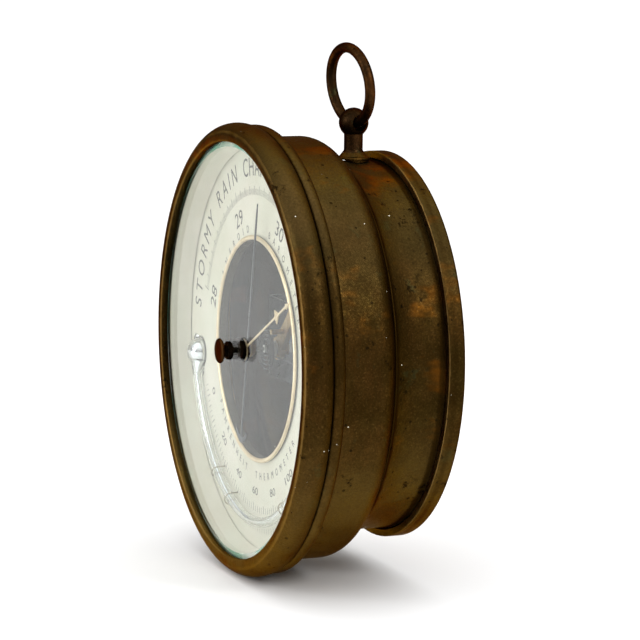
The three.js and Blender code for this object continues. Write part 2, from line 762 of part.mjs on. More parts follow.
/** The flat hairspring, a ribbon that winds out from the arbor to its stud. */
function hairspring() {
  const ribbon = new THREE.Shape();
  ribbon.moveTo(-0.4, -0.12);
  ribbon.lineTo(0.4, -0.12);
  ribbon.lineTo(0.4, 0.12);
  ribbon.lineTo(-0.4, 0.12);
  ribbon.closePath();
  const steps = HAIRSPRING_TURNS * 14;
  return new THREE.ExtrudeGeometry(ribbon, { extrudePath: new Spiral(), steps });
}

piece("pointer", pointer(), blueSteel);
piece(
  "pointer_collet",
  disc(COLLET_RADIUS, COLLET_FRONT, COLLET_FRONT + COLLET_LENGTH, SMALL, ARBOR_RADIUS + GAP),
  yellowBrass,
);
piece("hand_arbor", handArbor(), steel);
piece("hairspring", hairspring(), blueSteel);

const studAt = (HAIRSPRING_OUTER + 0.8 + GAP + 0.12) * Math.SQRT1_2;
piece(
  "hairspring_stud",
  discAt(studAt, studAt, 0.8, SPIRAL_DEPTH - 0.8, ARBOR_COCK_FRONT - GAP, 12),
  yellowBrass,
);

// ---------------------------------------------------------------- thermometer

const tubeDepth = DIAL_FRONT - GAP - TUBE_RADIUS;
const bulbPlace = [
  dialX(TUBE_ARC_RADIUS, BULB_ANGLE),
  yOf(DIAL_FRONT),
  dialZ(TUBE_ARC_RADIUS, BULB_ANGLE),
];
const sphereAt = (radius, columns, rows) =>
  new THREE.SphereGeometry(radius, columns, rows).translate(...bulbPlace);
const tubeArc = (from, to) => new DialArc(TUBE_ARC_RADIUS, tubeDepth, from, to);
const degreesOf = (length) => THREE.MathUtils.radToDeg(length / TUBE_ARC_RADIUS);

/** The glass tube with its bulb, hollow as far as its far end. */
function thermometerTube() {
  const stem = wire(tubeArc(BULB_ANGLE, TUBE_END_ANGLE), TUBE_RADIUS, 8, TUBE_STEPS);
  const tip = BULB_ANGLE + degreesOf(BULB_RADIUS + 1.3);
  const nipple = wire(tubeArc(tip, BULB_ANGLE), TUBE_RADIUS * 0.6, 8, 2);
  const glass = join(stem, sphereAt(BULB_RADIUS, 14, 10), nipple);
  const pastEnd = TUBE_END_ANGLE - degreesOf(1);
  const bore = wire(tubeArc(BULB_ANGLE, pastEnd), TUBE_BORE_RADIUS, 6, TUBE_STEPS);
  return cut(glass, bore, sphereAt(BULB_RADIUS - BULB_WALL, 12, 8));
}

/** The mercury: the bulb's filling and the thread up to the reading. */
function thermometerMercury() {
  const thread = wire(tubeArc(BULB_ANGLE, READING_ANGLE), MERCURY_RADIUS, 6, 16);
  return join(sphereAt(BULB_RADIUS - BULB_WALL - 0.4, 12, 8), thread);
}

/** A wire staple that holds the tube on the dial, made at twelve o'clock. */
function tubeClip() {
  const reach = TUBE_RADIUS + GAP;
  const outer = reach + CLIP_WIRE;
  const foot = DIAL_BACK - tubeDepth + 0.3;
  const shape = new THREE.Shape();
  shape.moveTo(outer, foot);
  shape.lineTo(outer, 0);
  shape.absarc(0, 0, outer, 0, -Math.PI, true);
  shape.lineTo(-outer, foot);
  shape.lineTo(-reach, foot);
  shape.lineTo(-reach, 0);
  shape.absarc(0, 0, reach, -Math.PI, 0, false);
  shape.lineTo(reach, foot);
  shape.closePath();
  const clip = new THREE.ExtrudeGeometry(shape, {
    depth: CLIP_WIRE,
    bevelEnabled: false,
    curveSegments: 6,
  });
  clip.translate(0, 0, -CLIP_WIRE / 2).rotateY(Math.PI / 2);
  return clip.translate(0, yOf(tubeDepth), TUBE_ARC_RADIUS);
}

piece("thermometer_tube", thermometerTube(), clearGlass);
piece("thermometer_mercury", thermometerMercury(), mercury);
CLIP_ANGLES.forEach((angle, i) => {
  const turn = new THREE.Group();
  turn.rotation.y = rad(angle);
  object.add(turn);
  piece(`tube_clip_${i + 1}`, tubeClip(), paleBrass, turn);
});

// ---------------------------------------------------------------- movement

/** The movement's base plate. */
function basePlate() {
  const through = [PLATE_FRONT - 1, PLATE_BACK + 1];
  return cut(
    disc(PLATE_RADIUS, PLATE_FRONT, PLATE_BACK, ROUND),
    disc(3 + GAP, ...through),
    discAt(ADJUST_X, ADJUST_Z, 1.8, ...through),
    discAt(BRIDGE_X, -FOOT_MIDDLE, 1.5, ...through),
    ...cockScrewPlaces.map(([x, z]) => discAt(x, z, 1.2, ...through)),
    ...screwHoles(),
  );
}

/** One corrugated diaphragm; sign is 1 for the front one and -1 for the back one. */
function diaphragm(sign, face, boss, extra = []) {
  const at = (offset) => face + sign * offset;
  const ripple = (r) => 0.35 + 0.35 * Math.cos((2 * Math.PI * (r - 5)) / 5);
  const radii = [];
  for (let r = 5; r <= CAPSULE_RADIUS - 2.5; r += 2.5) {
    radii.push(r);
  }
  const half = CAPSULE_THICKNESS / 2 - GAP / 2;
  return turned(
    [
      ...extra,
      [4, boss],
      [4, at(0.1)],
      ...radii.map((r) => [r, at(ripple(r))]),
      [CAPSULE_RADIUS - 1, at(0.5)],
      [CAPSULE_RADIUS, at(1.6)],
      [CAPSULE_RADIUS, at(half)],
      [CAPSULE_RADIUS - CAPSULE_WALL, at(half)],
      [CAPSULE_RADIUS - CAPSULE_WALL, at(1.8)],
      [CAPSULE_RADIUS - 1.3, at(0.5 + CAPSULE_WALL)],
      ...radii.reverse().map((r) => [r, at(ripple(r) + CAPSULE_WALL)]),
      [0, at(0.1 + CAPSULE_WALL)],
    ],
    SMALL,
  );
}

const nutFront = PLATE_BACK + GAP;
const nutBack = nutFront + 1.0;
const cockScrewPlaces = [1, -1].map((side) => [
  ROCKER_X,
  side * (ROCKER_HALF_SPAN + COCK_LENGTH + 3.2),
]);

piece("base_plate", basePlate(), yellowBrass);
plateScrews.forEach(([x, z], i) => {
  const under = PLATE_FRONT - GAP;
  piece(`plate_screw_${i + 1}`, screw(x, z, 2, under - 1.2, under, 1, CASE_BACK + 0.2), steel);
});
piece(
  "capsule_front",
  diaphragm(1, CAPSULE_FRONT, FRONT_BOSS, [[0, FRONT_BOSS]]),
  nickel,
);
piece(
  "capsule_back",
  diaphragm(-1, CAPSULE_BACK, PLATE_FRONT - GAP, [
    [0, nutBack],
    [3, nutBack],
    [3, PLATE_FRONT - GAP],
  ]),
  nickel,
);
piece(
  "capsule_nut",
  cut(disc(5.5, nutFront, nutBack, 6), disc(3 + GAP, nutFront - 1, nutBack + 1)),
  yellowBrass,
);

/** The post that the capsule pulls the spring by, with a slot for its knife edge. */
const POST_RADIUS = 1.5;
const KNIFE_HALF = 0.5;
const knifeFront = SPRING_FRONT - GAP - 2 * KNIFE_HALF;
const post = disc(POST_RADIUS, knifeFront - 0.8, FRONT_BOSS - GAP, SMALL);
const knifeSlot = block(
  -KNIFE_HALF - GAP,
  KNIFE_HALF + GAP,
  knifeFront - 0.2,
  SPRING_FRONT + 0.2,
  -9,
  9,
);
const postCap = disc(POST_RADIUS, knifeFront - 1.0, knifeFront - 0.4, SMALL);
const postSides = [-1, 1].map((side) =>
  block(
    side * 1.2 - 0.25,
    side * 1.2 + 0.25,
    knifeFront - 0.6,
    SPRING_FRONT + 0.4,
    -0.9,
    0.9,
  ),
);
piece("capsule_post", join(cut(post, knifeSlot), postCap, ...postSides), steel);
piece(
  "knife_edge",
  plate(
    [
      [-KNIFE_HALF, -4],
      [KNIFE_HALF, -4],
      [KNIFE_HALF, 4],
      [-KNIFE_HALF, 4],
    ],
    knifeFront + 0.1,
    SPRING_FRONT - GAP,
  ),
  steel,
);

const bridgeLeft = BRIDGE_X - BRIDGE_WIDTH / 2;
const bridgeRight = BRIDGE_X + BRIDGE_WIDTH / 2;
const clampPlaces = [-8, 8].map((z) => [BRIDGE_X, z]);

/** The cast bridge that straddles the capsule and carries the main spring. */
function springBridge() {
  const beam = block(
    bridgeLeft,
    bridgeRight,
    BRIDGE_FRONT,
    BRIDGE_BACK,
    -BRIDGE_HALF_SPAN,
    BRIDGE_HALF_SPAN,
  );
  const feet = [-1, 1].map((side) => {
    const ends = [side * (BRIDGE_HALF_SPAN - FOOT_LENGTH), side * BRIDGE_HALF_SPAN];
    const [low, high] = ends.sort((a, b) => a - b);
    return block(bridgeLeft, bridgeRight, BRIDGE_FRONT + 1, PLATE_FRONT - GAP, low, high);
  });
  const into = [PLATE_FRONT - 8, PLATE_FRONT + 1];
  return cut(
    join(beam, ...feet),
    discAt(ADJUST_X, ADJUST_Z, 1.8, ...into),
    discAt(BRIDGE_X, -FOOT_MIDDLE, 1.5, ...into),
    ...clampPlaces.map(([x, z]) => discAt(x, z, 1.2, BRIDGE_FRONT - 1, BRIDGE_FRONT + 3)),
  );
}

const leverScrews = [-1.7, 1.7].map((z) => [SPRING_TIP_X - 2.5, z]);

/** The C-shaped main spring, bent over its left end and open to the right. */
function mainSpring() {
  const middle = yOf(SPRING_MIDDLE);
  const outer = (SPRING_BACK - SPRING_FRONT) / 2;
  const inner = outer - SPRING_THICKNESS;
  const root = bridgeRight + 1;
  const shape = new THREE.Shape();
  shape.moveTo(SPRING_TIP_X, middle - outer);
  shape.lineTo(SPRING_BEND_X, middle - outer);
  shape.absarc(SPRING_BEND_X, middle, outer, -Math.PI / 2, Math.PI / 2, true);
  shape.lineTo(root, middle + outer);
  shape.lineTo(root, middle + inner);
  shape.lineTo(SPRING_BEND_X, middle + inner);
  shape.absarc(SPRING_BEND_X, middle, inner, Math.PI / 2, -Math.PI / 2, false);
  shape.lineTo(SPRING_TIP_X, middle - inner);
  shape.closePath();
  const strip = new THREE.ExtrudeGeometry(shape, {
    depth: 2 * SPRING_HALF_WIDTH,
    bevelEnabled: false,
    curveSegments: 8,
  });
  strip.translate(0, 0, -SPRING_HALF_WIDTH);
  const upper = [SPRING_FRONT - 1, SPRING_FRONT + SPRING_THICKNESS + 1];
  const lower = [SPRING_BACK - SPRING_THICKNESS - 1, SPRING_BACK + 1];
  return cut(
    strip,
    disc(POST_RADIUS + 0.4, ...upper),
    ...leverScrews.map(([x, z]) => discAt(x, z, 0.8, ...upper, 12)),
    ...clampPlaces.map(([x, z]) => discAt(x, z, 1.2, ...lower, 12)),
  );
}

/** The main lever, screwed to the spring's free end. */
function mainLever() {
  const root = POST_RADIUS + 1.4;
  const outline = [
    [root, -3],
    [SPRING_TIP_X, -3],
    [LEVER_TIP_X + 2, -1.2],
    [LEVER_TIP_X + 2, 1.2],
    [SPRING_TIP_X, 3],
    [root, 3],
  ];
  const back = LEVER_FRONT + LEVER_THICKNESS;
  const holes = leverScrews.map(([x, z]) =>
    discAt(x, z, 0.8, LEVER_FRONT - 1, back + 1, 12),
  );
  return cut(plate(outline, LEVER_FRONT, back), ...holes);
}

piece("spring_bridge", springBridge(), iron);
piece(
  "bridge_screw",
  screw(BRIDGE_X, -FOOT_MIDDLE, 2.2, nutFront, nutBack, 1.2, PLATE_FRONT - 7),
  steel,
);
piece(
  "adjusting_screw",
  screw(ADJUST_X, ADJUST_Z, 2.4, nutFront, nutBack + 0.8, 1.5, PLATE_FRONT - 7),
  yellowBrass,
);
piece("main_spring", mainSpring(), blueSteel);
clampPlaces.forEach(([x, z], i) => {
  const under = SPRING_BACK - SPRING_THICKNESS - GAP;
  piece(
    `spring_screw_${i + 1}`,
    screw(x, z, 1.9, under - 1.2, under, 0.9, BRIDGE_FRONT + 2.6),
    steel,
  );
});
piece("main_lever", mainLever(), yellowBrass);
leverScrews.forEach(([x, z], i) => {
  const under = LEVER_FRONT - GAP;
  piece(
    `lever_screw_${i + 1}`,
    screw(x, z, 1.1, under - 0.8, under, 0.5, SPRING_FRONT + SPRING_THICKNESS + 0.4),
    steel,
  );
});

const linkFront = LEVER_FRONT + LEVER_THICKNESS + GAP;
const crankHalf = 0.4;
piece(
  "lever_link",
  discAt(LEVER_TIP_X, 0, 0.5, linkFront, ROCKER_DEPTH - crankHalf - GAP, 10),
  steel,
);

/** The rocking arbor: its crank takes the lever's push, its long arm pulls the chain. */
function rockerArbor() {
  const shaft = (radius, half) =>
    new THREE.CylinderGeometry(radius, radius, 2 * half, SMALL)
      .rotateX(Math.PI / 2)
      .translate(ROCKER_X, yOf(ROCKER_DEPTH), 0);
  const crank = block(
    LEVER_TIP_X - 0.8,
    ROCKER_X,
    ROCKER_DEPTH - crankHalf,
    ROCKER_DEPTH + crankHalf,
    -1,
    1,
  );
  const arm = block(
    ROCKER_X - 0.5,
    ROCKER_X + 0.5,
    CHAIN_DEPTH - 0.8,
    ROCKER_DEPTH,
    CHAIN_Z - 0.8,
    CHAIN_Z + 0.8,
  );
  return join(
    shaft(1, ROCKER_HALF_SPAN - GAP),
    shaft(0.5, ROCKER_HALF_SPAN + COCK_LENGTH - 0.5),
    crank,
    arm,
  );
}

/** A cock that carries one of the rocking arbor's pivots; side is 1 above, -1 below. */
function rockerCock(side) {
  const between = (a, b) => [side * a, side * b].sort((p, q) => p - q);
  const near = ROCKER_HALF_SPAN;
  const far = near + COCK_LENGTH;
  const back = PLATE_FRONT - GAP;
  const left = ROCKER_X - 2;
  const right = ROCKER_X + 2;
  const standard = block(left, right, ROCKER_DEPTH - 2, back, ...between(near, far));
  const foot = block(left, right, back - 1.6, back, ...between(far - 1, far + 6));
  const pivot = new THREE.CylinderGeometry(0.8, 0.8, 40, SMALL);
  pivot.rotateX(Math.PI / 2).translate(ROCKER_X, yOf(ROCKER_DEPTH), 0);
  const hole = discAt(ROCKER_X, side * (far + 3.2), 1.2, back - 3, back + 1);
  return cut(join(standard, foot), pivot, hole);
}

piece("rocker_arbor", rockerArbor(), steel);
["upper", "lower"].forEach((name, i) => {
  const side = i === 0 ? 1 : -1;
  const [x, z] = cockScrewPlaces[i];
  const under = PLATE_FRONT - 2 * GAP - 1.6;
  piece(`rocker_cock_${name}`, rockerCock(side), yellowBrass);
  piece(
    `cock_screw_${name}`,
    screw(x, z, 1.7, under - 1, under, 0.9, PLATE_BACK - 0.2),
    steel,
  );
});

const chainFrom = new THREE.Vector3(0, yOf(CHAIN_DEPTH), CHAIN_Z);
const chainTo = new THREE.Vector3(ROCKER_X - 0.5 - GAP, yOf(CHAIN_DEPTH), CHAIN_Z);
piece(
  "chain",
  wire(new THREE.LineCurve3(chainFrom, chainTo), CHAIN_RADIUS, 6, 1),
  blueSteel,
);

/** The cock over the movement's middle, with the long bearing of the pointer's arbor. */
function arborCock() {
  const back = ARBOR_COCK_FRONT + ARBOR_COCK_THICKNESS;
  const length = Math.hypot(PILLAR_AT, PILLAR_AT);
  const across = [-PILLAR_AT / length, PILLAR_AT / length];
  const corner = (t, half) => [
    PILLAR_AT * t + across[0] * half,
    PILLAR_AT * t + across[1] * half,
  ];
  const bar = plate(
    [corner(0, -2.6), corner(1, -2.2), corner(1, 2.2), corner(0, 2.6)],
    ARBOR_COCK_FRONT,
    back,
  );
  const pad = discAt(PILLAR_AT, PILLAR_AT, 4, ARBOR_COCK_FRONT, back, SMALL);
  const eye = disc(3.4, ARBOR_COCK_FRONT, back, SMALL);
  const hub = disc(HUB_RADIUS, ARBOR_COCK_FRONT, HUB_BACK, SMALL);
  const around = [ARBOR_COCK_FRONT - 1, HUB_BACK + 1];
  return cut(
    join(bar, pad, eye, hub),
    disc(ARBOR_RADIUS + GAP, ...around),
    discAt(PILLAR_AT, PILLAR_AT, 1.2, ...around),
  );
}

const pillarFront = ARBOR_COCK_FRONT + ARBOR_COCK_THICKNESS + GAP;
const pillar = disc(PILLAR_RADIUS, pillarFront, PLATE_FRONT - GAP, SMALL);
const pillarHole = disc(1.2, pillarFront - 1, pillarFront + 6, SMALL);
piece("arbor_cock", arborCock(), yellowBrass);
piece("arbor_pillar", cut(pillar, pillarHole).translate(PILLAR_AT, 0, PILLAR_AT), yellowBrass);
piece(
  "arbor_cock_screw",
  screw(
    PILLAR_AT,
    PILLAR_AT,
    1.8,
    ARBOR_COCK_FRONT - GAP - 1.1,
    ARBOR_COCK_FRONT - GAP,
    0.9,
    pillarFront + 5,
  ),
  steel,
);

export default object;
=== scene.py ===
"""A five-inch aneroid barometer with an open dial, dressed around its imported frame.

Sizes are in millimetres and depths are measured back from the bezel's lip; Bench turns both
into metres. Dial angles are in degrees, clockwise from twelve o'clock as a reader sees them.
"""

import logging
import math
from contextlib import contextmanager
from dataclasses import dataclass
from enum import Enum
from typing import Callable, Iterator, Optional, Sequence, Union

import bmesh
import bpy
from mathutils import Matrix, Vector


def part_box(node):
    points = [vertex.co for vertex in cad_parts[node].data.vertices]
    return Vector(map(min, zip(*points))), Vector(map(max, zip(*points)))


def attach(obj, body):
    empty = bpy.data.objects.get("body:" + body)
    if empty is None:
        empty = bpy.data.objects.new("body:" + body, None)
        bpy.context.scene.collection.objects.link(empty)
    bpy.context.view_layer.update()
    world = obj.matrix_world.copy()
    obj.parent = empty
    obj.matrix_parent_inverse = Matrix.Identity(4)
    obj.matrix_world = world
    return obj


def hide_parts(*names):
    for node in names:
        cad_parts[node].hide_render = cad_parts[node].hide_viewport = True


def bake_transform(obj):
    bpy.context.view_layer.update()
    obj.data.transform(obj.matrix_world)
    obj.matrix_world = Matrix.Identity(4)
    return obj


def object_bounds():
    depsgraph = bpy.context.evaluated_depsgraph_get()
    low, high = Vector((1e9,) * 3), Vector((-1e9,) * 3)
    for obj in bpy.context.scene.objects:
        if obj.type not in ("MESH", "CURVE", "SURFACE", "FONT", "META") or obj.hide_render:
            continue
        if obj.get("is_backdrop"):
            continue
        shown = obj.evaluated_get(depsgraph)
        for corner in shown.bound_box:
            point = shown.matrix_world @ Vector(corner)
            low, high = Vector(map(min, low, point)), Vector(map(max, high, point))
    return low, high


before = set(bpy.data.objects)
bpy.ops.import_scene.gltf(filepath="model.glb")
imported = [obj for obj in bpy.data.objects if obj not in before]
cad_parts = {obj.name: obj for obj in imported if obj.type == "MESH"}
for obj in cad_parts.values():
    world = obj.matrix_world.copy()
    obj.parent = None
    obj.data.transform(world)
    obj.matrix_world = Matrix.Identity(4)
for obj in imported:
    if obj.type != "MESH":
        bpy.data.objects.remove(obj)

LOG = logging.getLogger("barometer")

MM = 0.001
LIP_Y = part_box("bezel")[0].y
ROUND_STEPS = 160
SMALL_STEPS = 48
CAP_HEIGHT = 0.7  # height of a capital against the size of its text
SAME_PLACE = 0.002 * MM  # corners nearer than this are one
KNURL_FACETS = 96
BORE_PAST = 1.0  # how far a cutter stands out of what it cuts

Outline = list[tuple[float, float]]
Colour = tuple[float, float, float]
Feed = Union[float, Colour, bpy.types.NodeSocket]


class Axis(Enum):
    """The line that a piece is turned about."""

    CASE = (0.0, 1.0, 0.0)
    UPRIGHT = (0.0, 0.0, 1.0)


class Reading(Enum):
    """Which way the tops of the letters on an arc point."""

    TOPS_OUT = 1
    TOPS_IN = -1


# ------------------------------------------------------------------ places


def place(x: float, depth: float, z: float) -> Vector:
    """A point in metres.

    Args:
        x: Millimetres to the right of the case's axis.
        depth: Millimetres behind the bezel's lip.
        z: Millimetres above the case's axis.

    Returns:
        The point in the row's frame.
    """
    return Vector((x * MM, LIP_Y + depth * MM, z * MM))


def polar(radius: float, angle: float) -> tuple[float, float]:
    """x and z of a point on a circle about the case's axis.

    Args:
        radius: Distance from the axis.
        angle: Dial angle.

    Returns:
        Millimetres to the right and upwards.
    """
    turn = math.radians(angle)
    return radius * math.sin(turn), radius * math.cos(turn)


def on_dial(radius: float, angle: float, depth: float) -> Vector:
    """A point on a circle about the case's axis.

    Args:
        radius: Distance from the axis.
        angle: Dial angle.
        depth: Millimetres behind the lip.

    Returns:
        The point in the row's frame.
    """
    x, z = polar(radius, angle)
    return place(x, depth, z)


def depth_of(y: float) -> float:
    """Millimetres behind the lip of a place along the case's axis, given in metres."""
    return (y - LIP_Y) / MM


def turn_about(point: Vector, angle: float, axis: Union[str, Vector]) -> Matrix:
    """A turn about a line.

    Args:
        point: A point on the line.
        angle: How far it turns, in radians.
        axis: The line's direction, or the letter of an axis.

    Returns:
        The transformation.
    """
    return Matrix.Translation(point) @ Matrix.Rotation(angle, 4, axis) @ Matrix.Translation(-point)


def arc(centre: tuple[float, float], a: float, b: float, start: float, end: float, steps: int) -> Outline:
    """Points on an ellipse in an outline.

    Args:
        centre: Radius and depth of the ellipse's middle.
        a: Half its size along the radius.
        b: Half its size along the depth.
        start: First angle in degrees.
        end: Last angle in degrees.
        steps: Number of spans.

    Returns:
        The points, both ends included.
    """
    points = []
    for i in range(steps + 1):
        turn = math.radians(start + (end - start) * i / steps)
        points.append((centre[0] + a * math.cos(turn), centre[1] + b * math.sin(turn)))
    return points


def inset(points: Outline, wall: float) -> Outline:
    """An outline moved inwards along its normals.

    Args:
        points: The outline, radius and depth.
        wall: How far it moves.

    Returns:
        The moved outline.
    """
    moved = []
    for i, (radius, depth) in enumerate(points):
        before = points[max(i - 1, 0)]
        after = points[min(i + 1, len(points) - 1)]
        along = Vector((after[0] - before[0], after[1] - before[1])).normalized()
        moved.append((radius - wall * along.y, depth + wall * along.x))
    return moved


# ------------------------------------------------------------------ the bench


@contextmanager
def editing(thing: bpy.types.Object) -> Iterator[bmesh.types.BMesh]:
    """Edit mode on one object, with everything in it selected.

    Args:
        thing: The object to edit.

    Yields:
        Its edit mesh.
    """
    pick(thing)
    bpy.ops.object.mode_set(mode="EDIT")
    bpy.ops.mesh.select_mode(type="VERT")
    bpy.ops.mesh.select_all(action="SELECT")
    try:
        yield bmesh.from_edit_mesh(thing.data)
    finally:
        bpy.ops.object.mode_set(mode="OBJECT")


def pick(*things: bpy.types.Object) -> None:
    """Selects the objects and nothing else, and makes the first one active.

    Args:
        *things: The objects.
    """
    bpy.ops.object.select_all(action="DESELECT")
    for thing in things:
        thing.select_set(True)
    bpy.context.view_layer.objects.active = things[0]


class Bench:
    """The ways in which pieces are made: turning, cutting from plate, bending wire and filing."""

    @staticmethod
    def drawn(name: str, points: Sequence[Vector]) -> bpy.types.Object:
        """A line of edges through some points, drawn out from a single corner.

        Args:
            name: The object's name.
            points: The points in order, in metres.

        Returns:
            The new object.
        """
        bpy.ops.object.select_all(action="DESELECT")
        bpy.ops.mesh.primitive_plane_add(size=MM, location=(0, 0, 0))
        thing = bpy.context.object
        thing.name = name
        thing.data.name = name
        with editing(thing):
            bpy.ops.mesh.merge(type="CENTER")
            bpy.ops.transform.translate(value=points[0])
            for here, there in zip(points, points[1:]):
                bpy.ops.mesh.extrude_vertices_move(TRANSFORM_OT_translate={"value": there - here})
        return thing

    @staticmethod
    def tidied(thing: bpy.types.Object) -> bpy.types.Object:
        """Merges doubled corners and turns the faces outwards.

        Args:
            thing: The object.

        Returns:
            The same object.
        """
        with editing(thing):
            bpy.ops.mesh.remove_doubles(threshold=SAME_PLACE)
            bpy.ops.mesh.normals_make_consistent(inside=False)
        return thing

    @staticmethod
    def spun(
        thing: bpy.types.Object,
        centre: Vector,
        axis: Sequence[float],
        angle: float = 360.0,
        steps: int = ROUND_STEPS,
    ) -> bpy.types.Object:
        """Spins all of a mesh about a line.

        Args:
            thing: The object that holds the section.
            centre: A point on the line.
            axis: The line's direction.
            angle: How far it turns, in degrees.
            steps: Number of spans.

        Returns:
            The same object.
        """
        with editing(thing):
            bpy.ops.mesh.spin(steps=steps, angle=math.radians(angle), center=centre, axis=axis)
        return Bench.tidied(thing)

    @staticmethod
    def turned(
        name: str,
        outline: Outline,
        steps: int = ROUND_STEPS,
        centre: tuple[float, float] = (0.0, 0.0),
        axis: Axis = Axis.CASE,
    ) -> bpy.types.Object:
        """A lathe-turned piece.

        Args:
            name: The object's name.
            outline: Radius and depth of each point; with an upright axis, radius and height.
            steps: Facets round it.
            centre: x and z of the axis, or with an upright axis x and depth.
            axis: The line that it is turned about.

        Returns:
            The new object.
        """
        closed = outline[0][0] > 0 or outline[-1][0] > 0
        points = outline + [outline[0]] if closed else outline
        if axis is Axis.CASE:
            section = [place(centre[0] + r, d, centre[1]) for r, d in points]
            middle = place(centre[0], 0, centre[1])
        else:
            section = [place(centre[0] + r, centre[1], h) for r, h in points]
            middle = place(centre[0], centre[1], 0)
        return Bench.spun(Bench.drawn(name, section), middle, axis.value, steps=steps)

    @staticmethod
    def pushed(name: str, corners: Sequence[Vector], along: Vector) -> bpy.types.Object:
        """A flat outline that is filled and pushed out.

        Args:
            name: The object's name.
            corners: The outline's corners, in metres.
            along: Which way and how far it is pushed, in metres.

        Returns:
            The new object.
        """
        thing = Bench.drawn(name, [*corners, corners[0]])
        with editing(thing):
            bpy.ops.mesh.remove_doubles(threshold=SAME_PLACE)
            bpy.ops.mesh.edge_face_add()
            bpy.ops.mesh.extrude_region_move(TRANSFORM_OT_translate={"value": along})
        return Bench.tidied(thing)

    @staticmethod
    def plate(name: str, outline: Outline, front: float, back: float, turn: float = 0.0) -> bpy.types.Object:
        """A piece cut from flat plate.

        Args:
            name: The object's name.
            outline: x and z of each corner.
            front: Depth of its front face.
            back: Depth of its back face.
            turn: Dial angle that it is turned to.

        Returns:
            The new object.
        """
        c, s = math.cos(math.radians(turn)), math.sin(math.radians(turn))
        corners = [place(x * c + z * s, front, z * c - x * s) for x, z in outline]
        return Bench.pushed(name, corners, Vector((0, (back - front) * MM, 0)))

    @staticmethod
    def hoop(
        name: str,
        middle: Vector,
        facing: Vector,
        radius: float,
        centre: Vector,
        axis: Vector,
        angle: float = 360.0,
        steps: int = 96,
        sides: int = 24,
    ) -> bpy.types.Object:
        """A round wire bent about a line.

        Args:
            name: The object's name.
            middle: Centre of the wire's first section.
            facing: The wire's direction there.
            radius: The wire's radius in millimetres.
            centre: A point on the line.
            axis: The line's direction.
            angle: How far it goes round.
            steps: Spans along it.
            sides: Facets round the wire.

        Returns:
            The new object, with both ends capped if it isn't a full turn.
        """
        bpy.ops.object.select_all(action="DESELECT")
        fill = "NOTHING" if abs(angle) >= 360 else "NGON"
        bpy.ops.mesh.primitive_circle_add(
            vertices=sides,
            radius=radius * MM,
            fill_type=fill,
            location=middle,
            rotation=facing.to_track_quat("Z", "Y").to_euler(),
        )
        thing = bpy.context.object
        thing.name = name
        thing.data.name = name
        bpy.ops.object.transform_apply(location=True, rotation=True, scale=True)
        with editing(thing):
            if fill == "NOTHING":
                bpy.ops.mesh.spin(steps=steps, angle=math.radians(angle), center=centre, axis=axis)
            else:
                step = turn_about(centre, math.radians(angle) / steps, axis)
                for _ in range(steps):
                    bpy.ops.mesh.extrude_region()
                    edit = bmesh.from_edit_mesh(thing.data)
                    chosen = [v for v in edit.verts if v.select]
                    bmesh.ops.transform(edit, matrix=step, verts=chosen)
                    bmesh.update_edit_mesh(thing.data)
        return Bench.tidied(thing)

    @staticmethod
    def modified(thing: bpy.types.Object, kind: str, **settings: object) -> bpy.types.Object:
        """Adds one modifier and applies it.

        Args:
            thing: The object.
            kind: The modifier's type.
            **settings: Its settings.

        Returns:
            The same object.
        """
        pick(thing)
        modifier = thing.modifiers.new(kind.lower(), kind)
        for key, value in settings.items():
            setattr(modifier, key, value)
        bpy.ops.object.modifier_apply(modifier=modifier.name)
        return thing

    @staticmethod
    def filed(thing: bpy.types.Object, width: float, segments: int = 2) -> bpy.types.Object:
        """Rounds a piece's sharp edges.

        Args:
            thing: The object.
            width: Width of the rounding.
            segments: Facets across it.

        Returns:
            The same object.
        """
        return Bench.modified(
            thing,
            "BEVEL",
            width=width * MM,
            segments=segments,
            limit_method="ANGLE",
            angle_limit=math.radians(35.0),
        )

    @staticmethod
    def joined(
        thing: bpy.types.Object, *others: bpy.types.Object, operation: str = "UNION"
    ) -> bpy.types.Object:
        """Unites, cuts or intersects a piece with others, which are used up.

        Args:
            thing: The object that stays.
            *others: The objects that it is combined with.
            operation: UNION, DIFFERENCE or INTERSECT.

        Returns:
            The first object.
        """
        for other in others:
            Bench.modified(thing, "BOOLEAN", operation=operation, object=other, solver="EXACT")
            bpy.data.objects.remove(other)
        return thing

    @staticmethod
    def bored(thing: bpy.types.Object, *tools: bpy.types.Object) -> bpy.types.Object:
        """Cuts a piece with some tools, which are used up."""
        return Bench.joined(thing, *tools, operation="DIFFERENCE")

    @staticmethod
    def pin(
        name: str, x: float, z: float, radius: float, front: float, back: float, steps: int = 32
    ) -> bpy.types.Object:
        """A plain pin along the case's axis, used as a cutter or as stock.

        Args:
            name: The object's name.
            x: Its place to the right.
            z: Its place upwards.
            radius: Its radius.
            front: Depth of its front end.
            back: Depth of its back end.
            steps: Facets round it.

        Returns:
            The new object.
        """
        outline = [(0, front), (radius, front), (radius, back), (0, back)]
        return Bench.turned(name, outline, steps, (x, z))

    @staticmethod
    def copied(thing: bpy.types.Object, name: str, matrix: Matrix) -> bpy.types.Object:
        """A copy with its own mesh, moved in its mesh.

        Args:
            thing: The object that is copied.
            name: The copy's name.
            matrix: Where the copy goes.

        Returns:
            The copy.
        """
        pick(thing)
        bpy.ops.object.duplicate(linked=False)
        copy = bpy.context.object
        copy.name = name
        copy.data.name = name
        copy.data.transform(matrix)
        return copy

    @staticmethod
    def gathered(name: str, things: Sequence[bpy.types.Object]) -> bpy.types.Object:
        """Several loose objects as one.

        Args:
            name: The one object's name.
            things: The objects.

        Returns:
            The one object.
        """
        pick(*things)
        if len(things) > 1:
            bpy.ops.object.join()
        things[0].name = name
        things[0].data.name = name
        return things[0]


